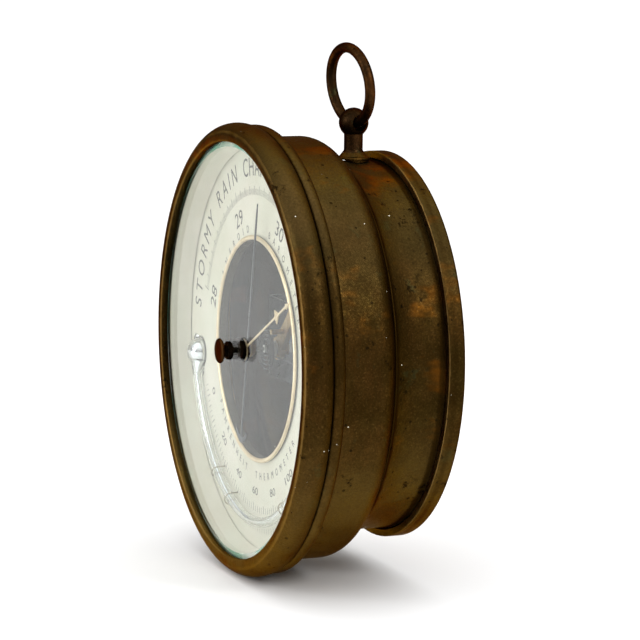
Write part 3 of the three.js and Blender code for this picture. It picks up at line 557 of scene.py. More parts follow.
def fit(
    thing: bpy.types.Object,
    body: Optional[str],
    material: Optional[bpy.types.Material],
    replaces: Sequence[str] = (),
    smooth: float = 32.0,
) -> None:
    """Finishes a piece and hangs it on its body.

    Args:
        thing: The piece.
        body: The body that it moves with, or None for a piece that bends between two.
        material: Its material, or None if its faces have theirs already.
        replaces: The CAD nodes that it stands for.
        smooth: Edges sharper than this stay sharp, in degrees.
    """
    if material is not None:
        thing.data.materials.clear()
        thing.data.materials.append(material)
    pick(thing)
    bpy.ops.object.shade_smooth_by_angle(angle=math.radians(smooth))
    if body is not None:
        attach(thing, body)
    if replaces:
        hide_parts(*replaces)
    LOG.info("%s: %d faces on %s", thing.name, len(thing.data.polygons), body or "two bodies")


def redress(material: bpy.types.Material, *nodes: str) -> None:
    """Gives kept CAD nodes their finish.

    Args:
        material: The finish.
        *nodes: The nodes' names.
    """
    for node in nodes:
        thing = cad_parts[node]
        if not thing.material_slots:
            thing.data.materials.append(material)
        for slot in thing.material_slots:
            slot.material = material
        LOG.info("%s: CAD node in %s", node, material.name)


# ------------------------------------------------------------------ node sheets


class Sheet:
    """A node tree that is written line by line."""

    def __init__(self, tree: bpy.types.NodeTree) -> None:
        """Keeps the tree."""
        self.tree = tree

    def add(self, kind: str, **settings: object) -> bpy.types.Node:
        """Adds a node.

        Args:
            kind: Its type, without the ShaderNode prefix.
            **settings: Its properties.

        Returns:
            The node.
        """
        node = self.tree.nodes.new("ShaderNode" + kind)
        for key, value in settings.items():
            setattr(node, key, value)
        return node

    def feed(self, socket: bpy.types.NodeSocket, value: Feed) -> None:
        """Links a socket, or sets it to a constant.

        Args:
            socket: The input.
            value: A socket, a number or a colour.
        """
        if isinstance(value, bpy.types.NodeSocket):
            self.tree.links.new(value, socket)
        elif isinstance(value, tuple) and socket.type == "RGBA":
            socket.default_value = (*value, 1.0)
        else:
            socket.default_value = value

    def math(self, operation: str, a: Feed, b: Feed = 0.0) -> bpy.types.NodeSocket:
        """One sum.

        Args:
            operation: The Math node's operation.
            a: First value.
            b: Second value.

        Returns:
            The result.
        """
        node = self.add("Math", operation=operation)
        self.feed(node.inputs[0], a)
        self.feed(node.inputs[1], b)
        return node.outputs[0]

    def plus(self, a: Feed, b: Feed) -> bpy.types.NodeSocket:
        """One value and another."""
        return self.math("ADD", a, b)

    def minus(self, a: Feed, b: Feed) -> bpy.types.NodeSocket:
        """One value less another."""
        return self.math("SUBTRACT", a, b)

    def times(self, a: Feed, b: Feed) -> bpy.types.NodeSocket:
        """One value times another."""
        return self.math("MULTIPLY", a, b)

    def split(self, vector: Feed) -> Sequence[bpy.types.NodeSocket]:
        """Parts a vector.

        Args:
            vector: The vector.

        Returns:
            Its x, y and z.
        """
        node = self.add("SeparateXYZ")
        self.feed(node.inputs[0], vector)
        return node.outputs

    def span(
        self, value: Feed, low: Feed, high: Feed, to_low: float = 0.0, to_high: float = 1.0
    ) -> bpy.types.NodeSocket:
        """Maps a range smoothly to another one.

        Args:
            value: The value.
            low: Start of its range.
            high: End of its range.
            to_low: What low becomes.
            to_high: What high becomes.

        Returns:
            The mapped value.
        """
        node = self.add("MapRange", interpolation_type="SMOOTHSTEP")
        for socket, given in zip(node.inputs, (value, low, high, to_low, to_high)):
            self.feed(socket, given)
        return node.outputs[0]

    def mix(self, factor: Feed, a: Feed, b: Feed) -> bpy.types.NodeSocket:
        """Mixes two colours.

        Args:
            factor: How much of the second.
            a: First colour.
            b: Second colour.

        Returns:
            The mixed colour.
        """
        node = self.add("Mix", data_type="RGBA")
        self.feed(node.inputs["Factor"], factor)
        self.feed(node.inputs[6], a)
        self.feed(node.inputs[7], b)
        return node.outputs[2]

    def noise(self, vector: Feed, size: float, detail: float, rough: float) -> bpy.types.NodeSocket:
        """Noise with features of a size.

        Args:
            vector: Coordinates in metres.
            size: Size of its features in millimetres.
            detail: Number of octaves.
            rough: How strong the finer octaves are.

        Returns:
            The noise, about 0.5.
        """
        node = self.add("TexNoise")
        self.feed(node.inputs["Vector"], vector)
        node.inputs["Scale"].default_value = 1.0 / (size * MM)
        node.inputs["Detail"].default_value = detail
        node.inputs["Roughness"].default_value = rough
        return node.outputs["Fac"]

    def stretched(self, vector: Feed, scale: Colour, shift: Colour = (0.0, 0.0, 0.0)) -> bpy.types.NodeSocket:
        """Coordinates scaled along each axis.

        Args:
            vector: The coordinates.
            scale: Scale along x, y and z.
            shift: What is added to them.

        Returns:
            The scaled coordinates.
        """
        node = self.add("Mapping")
        self.feed(node.inputs["Vector"], vector)
        node.inputs["Scale"].default_value = scale
        node.inputs["Location"].default_value = shift
        return node.outputs[0]

    def object_place(self) -> bpy.types.NodeSocket:
        """Object coordinates."""
        return self.add("TexCoord").outputs["Object"]

    def use(self, group: bpy.types.NodeTree, **inputs: Feed) -> bpy.types.Node:
        """Places a group.

        Args:
            group: The group's tree.
            **inputs: Its inputs, with underscores for spaces.

        Returns:
            The group node.
        """
        node = self.add("Group")
        node.node_tree = group
        for key, value in inputs.items():
            self.feed(node.inputs[key.replace("_", " ")], value)
        return node

    def bump(self, height: Feed, distance: float, strength: float = 1.0) -> bpy.types.NodeSocket:
        """A bumped normal.

        Args:
            height: The height map.
            distance: Its depth in millimetres.
            strength: How much of it shows.

        Returns:
            The normal.
        """
        node = self.add("Bump")
        node.inputs["Strength"].default_value = strength
        node.inputs["Distance"].default_value = distance * MM
        self.feed(node.inputs["Height"], height)
        return node.outputs[0]


def new_group(
    name: str, inputs: dict[str, tuple[str, float]], outputs: Sequence[str]
) -> tuple[Sheet, bpy.types.Node, bpy.types.Node]:
    """A shader node group with named sockets.

    Args:
        name: The group's name.
        inputs: Kind and default of each input, by name.
        outputs: Names of its outputs, which are all values.

    Returns:
        Its sheet, its input node and its output node.
    """
    tree = bpy.data.node_groups.new(name, "ShaderNodeTree")
    for key, (kind, default) in inputs.items():
        socket = tree.interface.new_socket(key, in_out="INPUT", socket_type=kind)
        if kind == "NodeSocketFloat":
            socket.default_value = default
    for key in outputs:
        tree.interface.new_socket(key, in_out="OUTPUT", socket_type="NodeSocketFloat")
    return Sheet(tree), tree.nodes.new("NodeGroupInput"), tree.nodes.new("NodeGroupOutput")


class Effects:
    """The surface effects that several finishes share, each built once."""

    def __init__(self) -> None:
        """Builds the groups."""
        self.mottle = self._mottle()
        self.specks = self._specks()
        self.band_at_depth = self._band_at_depth()
        self.turning = self._turning()
        self.stains = self._stains()

    @staticmethod
    def _mottle() -> bpy.types.NodeTree:
        """Broad patches, fine grain and streaks round the case.

        Returns:
            The group.
        """
        inputs = {"Vector": ("NodeSocketVector", 0.0), "Sharpness": ("NodeSocketFloat", 0.5)}
        sheet, source, sink = new_group("mottle", inputs, ("Patches", "Blotches", "Grain", "Streaks"))
        vector = source.outputs["Vector"]
        edge = sheet.times(source.outputs["Sharpness"], 0.2)
        low = sheet.plus(0.32, edge)
        high = sheet.minus(0.7, edge)
        for output, noise in (
            ("Patches", sheet.noise(vector, 26, 3, 0.6)),
            ("Blotches", sheet.noise(sheet.stretched(vector, (1, 1, 1), (0.3, 0.1, 0.7)), 6, 5, 0.68)),
        ):
            sheet.feed(sink.inputs[output], sheet.span(noise, low, high))
        grain = sheet.noise(vector, 0.7, 4, 0.7)
        sheet.feed(sink.inputs["Grain"], sheet.span(grain, 0.3, 0.7))
        streaks = sheet.noise(sheet.stretched(vector, (0.12, 1, 0.12)), 1.6, 4, 0.65)
        sheet.feed(sink.inputs["Streaks"], sheet.span(streaks, 0.35, 0.65))
        return sheet.tree

    @staticmethod
    def _specks() -> bpy.types.NodeTree:
        """Scattered small dots of uneven size.

        Returns:
            The group.
        """
        inputs = {
            "Vector": ("NodeSocketVector", 0.0),
            "Spacing": ("NodeSocketFloat", 3.0),
            "Radius": ("NodeSocketFloat", 0.1),
            "Share": ("NodeSocketFloat", 0.3),
        }
        sheet, source, sink = new_group("specks", inputs, ("Mask",))
        cells = sheet.add("TexVoronoi")
        scale = sheet.math("DIVIDE", 1.0 / MM, source.outputs["Spacing"])
        sheet.feed(cells.inputs["Vector"], source.outputs["Vector"])
        sheet.feed(cells.inputs["Scale"], scale)
        pick_cell = sheet.add("SeparateColor")
        sheet.feed(pick_cell.inputs[0], cells.outputs["Color"])
        chosen = sheet.math("LESS_THAN", pick_cell.outputs[0], source.outputs["Share"])
        reach = sheet.times(source.outputs["Radius"], sheet.plus(pick_cell.outputs[1], 0.4))
        inside = sheet.math("LESS_THAN", cells.outputs["Distance"], reach)
        sheet.feed(sink.inputs["Mask"], sheet.times(chosen, inside))
        return sheet.tree

    @staticmethod
    def _stains() -> bpy.types.NodeTree:
        """Ragged black stains in a few places.

        Returns:
            The group.
        """
        sheet, source, sink = new_group("stains", {"Vector": ("NodeSocketVector", 0.0)}, ("Mask",))
        vector = source.outputs["Vector"]
        shape = sheet.noise(sheet.stretched(vector, (1, 1, 1), (0.17, 0.6, 0.9)), 3.2, 6, 0.72)
        area = sheet.noise(sheet.stretched(vector, (1, 1, 1), (0.5, 0.22, 0.4)), 17, 2, 0.5)
        mask = sheet.times(sheet.span(shape, 0.56, 0.63), sheet.span(area, 0.56, 0.64))
        sheet.feed(sink.inputs["Mask"], mask)
        return sheet.tree

    @staticmethod
    def _band_at_depth() -> bpy.types.NodeTree:
        """A ragged band round the case at one depth, marking worn crests, painted highlight lines and painted
        shade.

        Returns:
            The group.
        """
        inputs = {
            "Vector": ("NodeSocketVector", 0.0),
            "Depth": ("NodeSocketFloat", 0.0),
            "Half Width": ("NodeSocketFloat", 0.4),
            "Raggedness": ("NodeSocketFloat", 0.6),
        }
        sheet, source, sink = new_group("band_at_depth", inputs, ("Mask",))
        along = sheet.split(source.outputs["Vector"])["Y"]
        depth = sheet.times(sheet.minus(along, LIP_Y), 1.0 / MM)
        away = sheet.math("ABSOLUTE", sheet.minus(depth, source.outputs["Depth"]))
        ragged = sheet.minus(sheet.noise(source.outputs["Vector"], 4.0, 4, 0.7), 0.5)
        ragged = sheet.times(ragged, source.outputs["Raggedness"])
        far = sheet.math("DIVIDE", away, source.outputs["Half Width"])
        far = sheet.plus(far, sheet.times(ragged, 3.0))
        sheet.feed(sink.inputs["Mask"], sheet.span(far, 0.25, 1.0, 1.0, 0.0))
        return sheet.tree

    @staticmethod
    def _turning() -> bpy.types.NodeTree:
        """Fine rings left by the lathe, as a height.

        Returns:
            The group.
        """
        inputs = {"Vector": ("NodeSocketVector", 0.0), "Pitch": ("NodeSocketFloat", 0.3)}
        sheet, source, sink = new_group("turning", inputs, ("Height",))
        parts = sheet.split(source.outputs["Vector"])
        x2 = sheet.times(parts["X"], parts["X"])
        z2 = sheet.times(parts["Z"], parts["Z"])
        radius = sheet.math("SQRT", sheet.plus(x2, z2))
        across = sheet.add("CombineXYZ")
        sheet.feed(across.inputs[0], radius)
        sheet.feed(across.inputs[1], parts["Y"])
        rings = sheet.add("TexNoise")
        sheet.feed(rings.inputs["Vector"], across.outputs[0])
        sheet.feed(rings.inputs["Scale"], sheet.math("DIVIDE", 1.0 / MM, source.outputs["Pitch"]))
        rings.inputs["Detail"].default_value = 2.0
        sheet.feed(sink.inputs["Height"], rings.outputs["Fac"])
        return sheet.tree


def new_material(name: str) -> tuple[bpy.types.Material, Sheet, bpy.types.Node]:
    """An empty material with a Principled shader.

    Args:
        name: The material's name.

    Returns:
        The material, its sheet and its shader.
    """
    material = bpy.data.materials.new(name)
    material.use_nodes = True
    sheet = Sheet(material.node_tree)
    shader = next(n for n in material.node_tree.nodes if n.type == "BSDF_PRINCIPLED")
    return material, sheet, shader


# ------------------------------------------------------------------ finishes


@dataclass(frozen=True)
class AgedMetal:
    """Lacquered brass or bronze that has gone brown, worn, stained and pitted, with dust, and with painted
    light: painted highlight lines and glints, painted shade in grooves and creases, a painted floor glow
    below and painted overhead light on top.
    """

    name: str
    dark: Colour = (0.017, 0.0085, 0.0015)
    olive: Colour = (0.034, 0.021, 0.0042)
    warm: Colour = (0.058, 0.027, 0.0060)
    rust: Colour = (0.150, 0.050, 0.004)
    bright: Colour = (0.46, 0.27, 0.085)
    verdigris: Colour = (0.030, 0.036, 0.014)
    # painted light: a golden colour towards the bottom, standing in for light thrown up from the floor
    floor_bounce: Colour = (0.225, 0.137, 0.038)
    floor_bounce_share: float = 0.75
    # painted light: a paler, greyer colour towards the top, standing in for the bright overhead light
    overhead_sheen: Colour = (0.105, 0.075, 0.028)
    overhead_sheen_share: float = 0.45
    pitted: Colour = (0.006, 0.004, 0.0015)
    # white dust specks, which also stand in for small painted glints
    dust_glint_colour: Colour = (0.75, 0.70, 0.58)
    sheen: Colour = (0.42, 0.30, 0.16)
    rough: float = 0.30
    # share of cells with dust specks and painted glints
    dust_glints: float = 0.5
    rust_share: float = 0.75
    # bright bands at given depths: worn crests that also carry painted highlight lines
    wear_and_highlight_depths: tuple[tuple[float, float, float], ...] = ()
    # dark bands at given depths: painted shade in grooves, joints and creases
    shade_depths: tuple[tuple[float, float, float], ...] = ()

    def made(self, effects: Effects) -> bpy.types.Material:
        """Builds the material.

        Args:
            effects: The shared effects.

        Returns:
            The material.
        """
        material, sheet, shader = new_material(self.name)
        where = sheet.object_place()
        mottle = sheet.use(effects.mottle, Vector=where, Sharpness=0.1)
        colour = sheet.mix(mottle.outputs["Patches"], self.olive, self.warm)
        colour = sheet.mix(sheet.times(mottle.outputs["Blotches"], 0.55), colour, self.dark)
        streak = sheet.times(mottle.outputs["Streaks"], 0.30)
        colour = sheet.mix(streak, colour, self.olive)
        grain = sheet.times(mottle.outputs["Grain"], 0.45)
        colour = sheet.mix(grain, colour, self.dark)
        frost = sheet.span(sheet.noise(where, 0.55, 2, 0.6), 0.54, 0.72, 0.0, 0.06)
        colour = sheet.mix(frost, colour, self.bright)
        green = sheet.noise(sheet.stretched(where, (1, 1, 1), (0.9, 0.4, 0.2)), 9, 4, 0.7)
        colour = sheet.mix(sheet.span(green, 0.58, 0.72, 0.0, 0.5), colour, self.verdigris)
        rise = sheet.split(where)["Z"]
        # painted light: golden towards the bottom, for the floor's bounce
        low = sheet.span(rise, -8 * MM, -60 * MM, 0.0, self.floor_bounce_share)
        # painted light: paler towards the top, for the overhead light
        high = sheet.span(rise, 14 * MM, 60 * MM, 0.0, self.overhead_sheen_share)
        colour = sheet.mix(high, colour, self.overhead_sheen)
        patchy = sheet.span(mottle.outputs["Patches"], 0.0, 1.0, 1.0, 0.65)
        colour = sheet.mix(sheet.times(low, patchy), colour, self.floor_bounce)
        colour = sheet.mix(sheet.times(grain, 0.5), colour, self.dark)
        glow = sheet.noise(sheet.stretched(where, (1, 0.55, 1), (0.35, 0.81, 0.13)), 21, 4, 0.62)
        colour = sheet.mix(sheet.span(glow, 0.56, 0.70, 0.0, self.rust_share), colour, self.rust)
        # bright bands: worn brass and painted highlight lines
        wear_and_highlight: Feed = 0.0
        for depth, half, share in self.wear_and_highlight_depths:
            band = sheet.use(effects.band_at_depth, Vector=where, Depth=depth, Half_Width=half)
            wear_and_highlight = sheet.math("MAXIMUM", wear_and_highlight, sheet.times(band.outputs["Mask"], share))
        colour = sheet.mix(wear_and_highlight, colour, self.bright)
        # painted shade: dark bands in grooves, joints and creases
        for depth, half, share in self.shade_depths:
            band = sheet.use(effects.band_at_depth, Vector=where, Depth=depth, Half_Width=half, Raggedness=0.3)
            colour = sheet.mix(sheet.times(band.outputs["Mask"], share), colour, self.dark)
        stains = sheet.use(effects.stains, Vector=where).outputs["Mask"]
        pits = sheet.use(effects.specks, Vector=where, Spacing=2.9, Radius=0.13, Share=0.35).outputs["Mask"]
        pits = sheet.math("MAXIMUM", sheet.times(pits, 0.8), stains)
        colour = sheet.mix(sheet.times(pits, 0.85), colour, self.pitted)
        # white dust specks, also serving as painted glints
        dust_glints = sheet.use(effects.specks, Vector=where, Spacing=3.7, Radius=0.042, Share=self.dust_glints)
        dust_glints = dust_glints.outputs["Mask"]
        colour = sheet.mix(dust_glints, colour, self.dust_glint_colour)
        sheet.feed(shader.inputs["Base Color"], colour)
        sheet.feed(shader.inputs["Metallic"], sheet.minus(1.0, dust_glints))
        shader.inputs["Specular Tint"].default_value = (*self.sheen, 1.0)
        rough = sheet.plus(self.rough, sheet.times(mottle.outputs["Blotches"], 0.14))
        rough = sheet.plus(rough, sheet.times(mottle.outputs["Grain"], 0.12))
        rough = sheet.minus(rough, sheet.times(wear_and_highlight, 0.14))
        sheet.feed(shader.inputs["Roughness"], rough)
        rings = sheet.use(effects.turning, Vector=where, Pitch=0.5).outputs["Height"]
        rings = sheet.times(rings, 0.25)
        height = sheet.plus(rings, sheet.times(mottle.outputs["Grain"], 0.9))
        height = sheet.minus(height, pits)
        sheet.feed(shader.inputs["Normal"], sheet.bump(height, 0.04, 0.9))
        return material


@dataclass(frozen=True)
class WorkedMetal:
    """A plain worked metal with its tool marks and a thin film of age."""

    name: str
    colour: Colour
    tarnish: Colour
    rough: float = 0.3
    metallic: float = 1.0
    tarnish_share: float = 0.5
    pitch: float = 0.35
    depth: float = 0.012
    grain: float = 0.0

    def made(self, effects: Effects) -> bpy.types.Material:
        """Builds the material.

        Args:
            effects: The shared effects.

        Returns:
            The material.
        """
        material, sheet, shader = new_material(self.name)
        where = sheet.object_place()
        mottle = sheet.use(effects.mottle, Vector=where, Sharpness=0.2)
        film = sheet.times(mottle.outputs["Blotches"], self.tarnish_share)
        colour = sheet.mix(film, self.colour, self.tarnish)
        colour = sheet.mix(sheet.times(mottle.outputs["Grain"], 0.12), colour, self.tarnish)
        sheet.feed(shader.inputs["Base Color"], colour)
        shader.inputs["Metallic"].default_value = self.metallic
        rough = sheet.plus(self.rough, sheet.times(mottle.outputs["Blotches"], 0.15))
        sheet.feed(shader.inputs["Roughness"], rough)
        rings = sheet.use(effects.turning, Vector=where, Pitch=self.pitch).outputs["Height"]
        height = sheet.plus(rings, sheet.times(mottle.outputs["Grain"], self.grain))
        sheet.feed(shader.inputs["Normal"], sheet.bump(height, self.depth, 0.7))
        return material


@dataclass(frozen=True)
class Silvering:
    """Rubbed silvering on brass, gone cream, with faint stains."""

    name: str
    pale: Colour = (0.70, 0.69, 0.575)
    cream: Colour = (0.63, 0.61, 0.485)
    stain: Colour = (0.36, 0.33, 0.24)
    rough: float = 0.5

    def made(self, effects: Effects) -> bpy.types.Material:
        """Builds the material.

        Args:
            effects: The shared effects.

        Returns:
            The material.
        """
        material, sheet, shader = new_material(self.name)
        where = sheet.object_place()
        mottle = sheet.use(effects.mottle, Vector=where, Sharpness=0.0)
        colour = sheet.mix(mottle.outputs["Patches"], self.pale, self.cream)
        colour = sheet.mix(sheet.times(mottle.outputs["Grain"], 0.08), colour, self.stain)
        spots = sheet.use(effects.specks, Vector=where, Spacing=8.0, Radius=0.05, Share=0.5).outputs["Mask"]
        colour = sheet.mix(sheet.times(spots, 0.8), colour, self.stain)
        foxing = sheet.noise(sheet.stretched(where, (1, 1, 1), (0.2, 0.5, 0.35)), 7, 6, 0.75)
        colour = sheet.mix(sheet.span(foxing, 0.62, 0.8, 0.0, 0.35), colour, self.stain)
        sheet.feed(shader.inputs["Base Color"], colour)
        shader.inputs["Metallic"].default_value = 0.15
        rough = sheet.plus(self.rough, sheet.times(mottle.outputs["Grain"], 0.12))
        sheet.feed(shader.inputs["Roughness"], rough)
        rings = sheet.use(effects.turning, Vector=where, Pitch=0.25).outputs["Height"]
        height = sheet.plus(rings, mottle.outputs["Grain"])
        sheet.feed(shader.inputs["Normal"], sheet.bump(height, 0.006, 0.5))
        return material


@dataclass(frozen=True)
class EngravingWax:
    """Black wax in the dial's engraving, a little worn."""

    name: str
    colour: Colour = (0.030, 0.028, 0.024)
    worn: Colour = (0.16, 0.15, 0.12)

    def made(self, effects: Effects) -> bpy.types.Material:
        """Builds the material.

        Args:
            effects: The shared effects.

        Returns:
            The material.
        """
        material, sheet, shader = new_material(self.name)
        where = sheet.object_place()
        mottle = sheet.use(effects.mottle, Vector=where, Sharpness=0.2)
        share = sheet.times(mottle.outputs["Grain"], 0.5)
        sheet.feed(shader.inputs["Base Color"], sheet.mix(share, self.colour, self.worn))
        sheet.feed(shader.inputs["Roughness"], sheet.plus(0.5, sheet.times(share, 0.4)))
        return material


@dataclass(frozen=True)
class ClearGlass:
    """Glass that lets the lamps' light through without caustics."""

    name: str
    colour: Colour = (0.93, 0.97, 0.94)
    rough: float = 0.0
    ior: float = 1.22
    transmission: float = 1.0
    shade: float = 0.94
    sheen: Colour = (1.0, 1.0, 1.0)

    def made(self) -> bpy.types.Material:
        """Builds the material.

        Returns:
            The material.
        """
        material, sheet, shader = new_material(self.name)
        where = sheet.object_place()
        smears = sheet.noise(where, 14, 4, 0.6)
        sheet.feed(shader.inputs["Roughness"], sheet.span(smears, 0.45, 0.8, self.rough, self.rough + 0.03))
        tint = sheet.mix(sheet.span(smears, 0.3, 0.8), self.colour, (1.0, 1.0, 1.0))
        sheet.feed(shader.inputs["Base Color"], tint)
        shader.inputs["Transmission Weight"].default_value = self.transmission
        shader.inputs["IOR"].default_value = self.ior
        shader.inputs["Specular Tint"].default_value = (*self.sheen, 1.0)
        rays = sheet.add("LightPath")
        through = sheet.math("MAXIMUM", rays.outputs["Is Shadow Ray"], rays.outputs["Is Diffuse Ray"])
        clear = sheet.add("BsdfTransparent")
        clear.inputs["Color"].default_value = (self.shade, self.shade, self.shade, 1.0)
        blend = sheet.add("MixShader")
        sheet.feed(blend.inputs[0], through)
        sheet.feed(blend.inputs[1], shader.outputs[0])
        sheet.feed(blend.inputs[2], clear.outputs[0])
        sink = next(n for n in material.node_tree.nodes if n.type == "OUTPUT_MATERIAL")
        sheet.feed(sink.inputs["Surface"], blend.outputs[0])
        return material


class Finishes:
    """Every finish on the barometer, made once."""

    def __init__(self) -> None:
        """Builds the effects and the materials."""
        effects = Effects()
        self.bezel_brass = AgedMetal(
            "bezel_brass",
            # bright lines on the lip's crest and the bead: worn brass and painted highlight
            wear_and_highlight_depths=((0.3, 0.25, 0.22), (12.0, 0.35, 0.45)),
            # painted shade in the groove between the roll and the bead
            shade_depths=((8.25, 0.55, 0.95),),
        ).made(effects)
        self.case_brass = AgedMetal(
            "case_brass",
            # painted shade at the joint behind the bezel, in the crease and in the cove before the cover
            shade_depths=((12.3, 0.7, 0.8), (30.2, 1.9, 0.9), (45.3, 1.3, 0.8)),
        ).made(effects)
        self.cover_brass = AgedMetal(
            "cover_brass",
            # a painted highlight line on the cover's front edge, and a worn back edge
            wear_and_highlight_depths=((46.3, 0.25, 0.35), (51.2, 0.4, 0.15)),
            # painted shade round the middle of the cover's rim
            shade_depths=((48.2, 1.1, 0.35),),
        ).made(effects)
        self.dark_bronze = AgedMetal(
            "dark_bronze",
            dark=(0.008, 0.0045, 0.002),
            olive=(0.024, 0.013, 0.0055),
            warm=(0.085, 0.034, 0.010),
            rust=(0.110, 0.040, 0.010),
            bright=(0.30, 0.16, 0.07),
            rough=0.27,
            dust_glints=0.2,
            overhead_sheen_share=0.0,
        ).made(effects)
        self.black_bronze = AgedMetal(
            "black_bronze",
            dark=(0.003, 0.002, 0.001),
            olive=(0.007, 0.005, 0.003),
            warm=(0.018, 0.009, 0.004),
            rust=(0.05, 0.02, 0.008),
            rough=0.26,
            rust_share=0.4,
            dust_glints=0.1,
        ).made(effects)
        self.foot_brass = AgedMetal(
            "foot_brass",
            dark=(0.020, 0.010, 0.002),
            olive=(0.075, 0.040, 0.008),
            warm=(0.12, 0.055, 0.010),
            rough=0.34,
            floor_bounce_share=0.0,
            overhead_sheen_share=0.0,
        ).made(effects)
        self.silvered_dial = Silvering("silvered_dial").made(effects)
        self.engraving_wax = EngravingWax("engraving_wax").made(effects)
        self.pale_brass = WorkedMetal(
            "pale_brass", (0.80, 0.66, 0.43), (0.55, 0.42, 0.24), rough=0.38, metallic=0.55
        ).made(effects)
        # painted shade: a dark brass for the moulding's inner wall, which lies in shade behind the bead
        self.shaded_brass = WorkedMetal(
            "shaded_brass", (0.10, 0.085, 0.055), (0.05, 0.04, 0.025), rough=0.5, metallic=0.6
        ).made(effects)
        self.clip_wire = WorkedMetal(
            "clip_wire", (0.42, 0.38, 0.28), (0.26, 0.22, 0.15), rough=0.4, metallic=0.7
        ).made(effects)
        self.yellow_brass = WorkedMetal(
            "yellow_brass", (0.40, 0.27, 0.11), (0.17, 0.11, 0.045), rough=0.3
        ).made(effects)
        self.blued_steel = WorkedMetal(
            "blued_steel", (0.042, 0.047, 0.062), (0.050, 0.045, 0.055), rough=0.27, tarnish_share=0.25
        ).made(effects)
        self.steel = WorkedMetal("steel", (0.36, 0.36, 0.35), (0.18, 0.16, 0.14), rough=0.28).made(effects)
        self.cast_iron = WorkedMetal(
            "cast_iron",
            (0.050, 0.048, 0.046),
            (0.020, 0.018, 0.016),
            rough=0.6,
            metallic=0.4,
            depth=0.08,
            grain=1.5,
        ).made(effects)
        self.nickel_silver = WorkedMetal(
            "nickel_silver", (0.40, 0.36, 0.28), (0.20, 0.17, 0.11), rough=0.25
        ).made(effects)
        self.mercury = WorkedMetal(
            "mercury", (0.86, 0.87, 0.89), (0.62, 0.63, 0.66), rough=0.08, tarnish_share=0.25, depth=0.02
        ).made(effects)
        self.cover_glass = ClearGlass("cover_glass", sheen=(0.76, 0.79, 0.62)).made()
        self.glass_edge = ClearGlass(
            "glass_edge", colour=(0.16, 0.50, 0.36), rough=0.12, transmission=0.6, shade=0.6
        ).made()
        self.tube_glass = ClearGlass("tube_glass", colour=(0.95, 0.97, 0.97), ior=1.47).made()


# ------------------------------------------------------------------ case


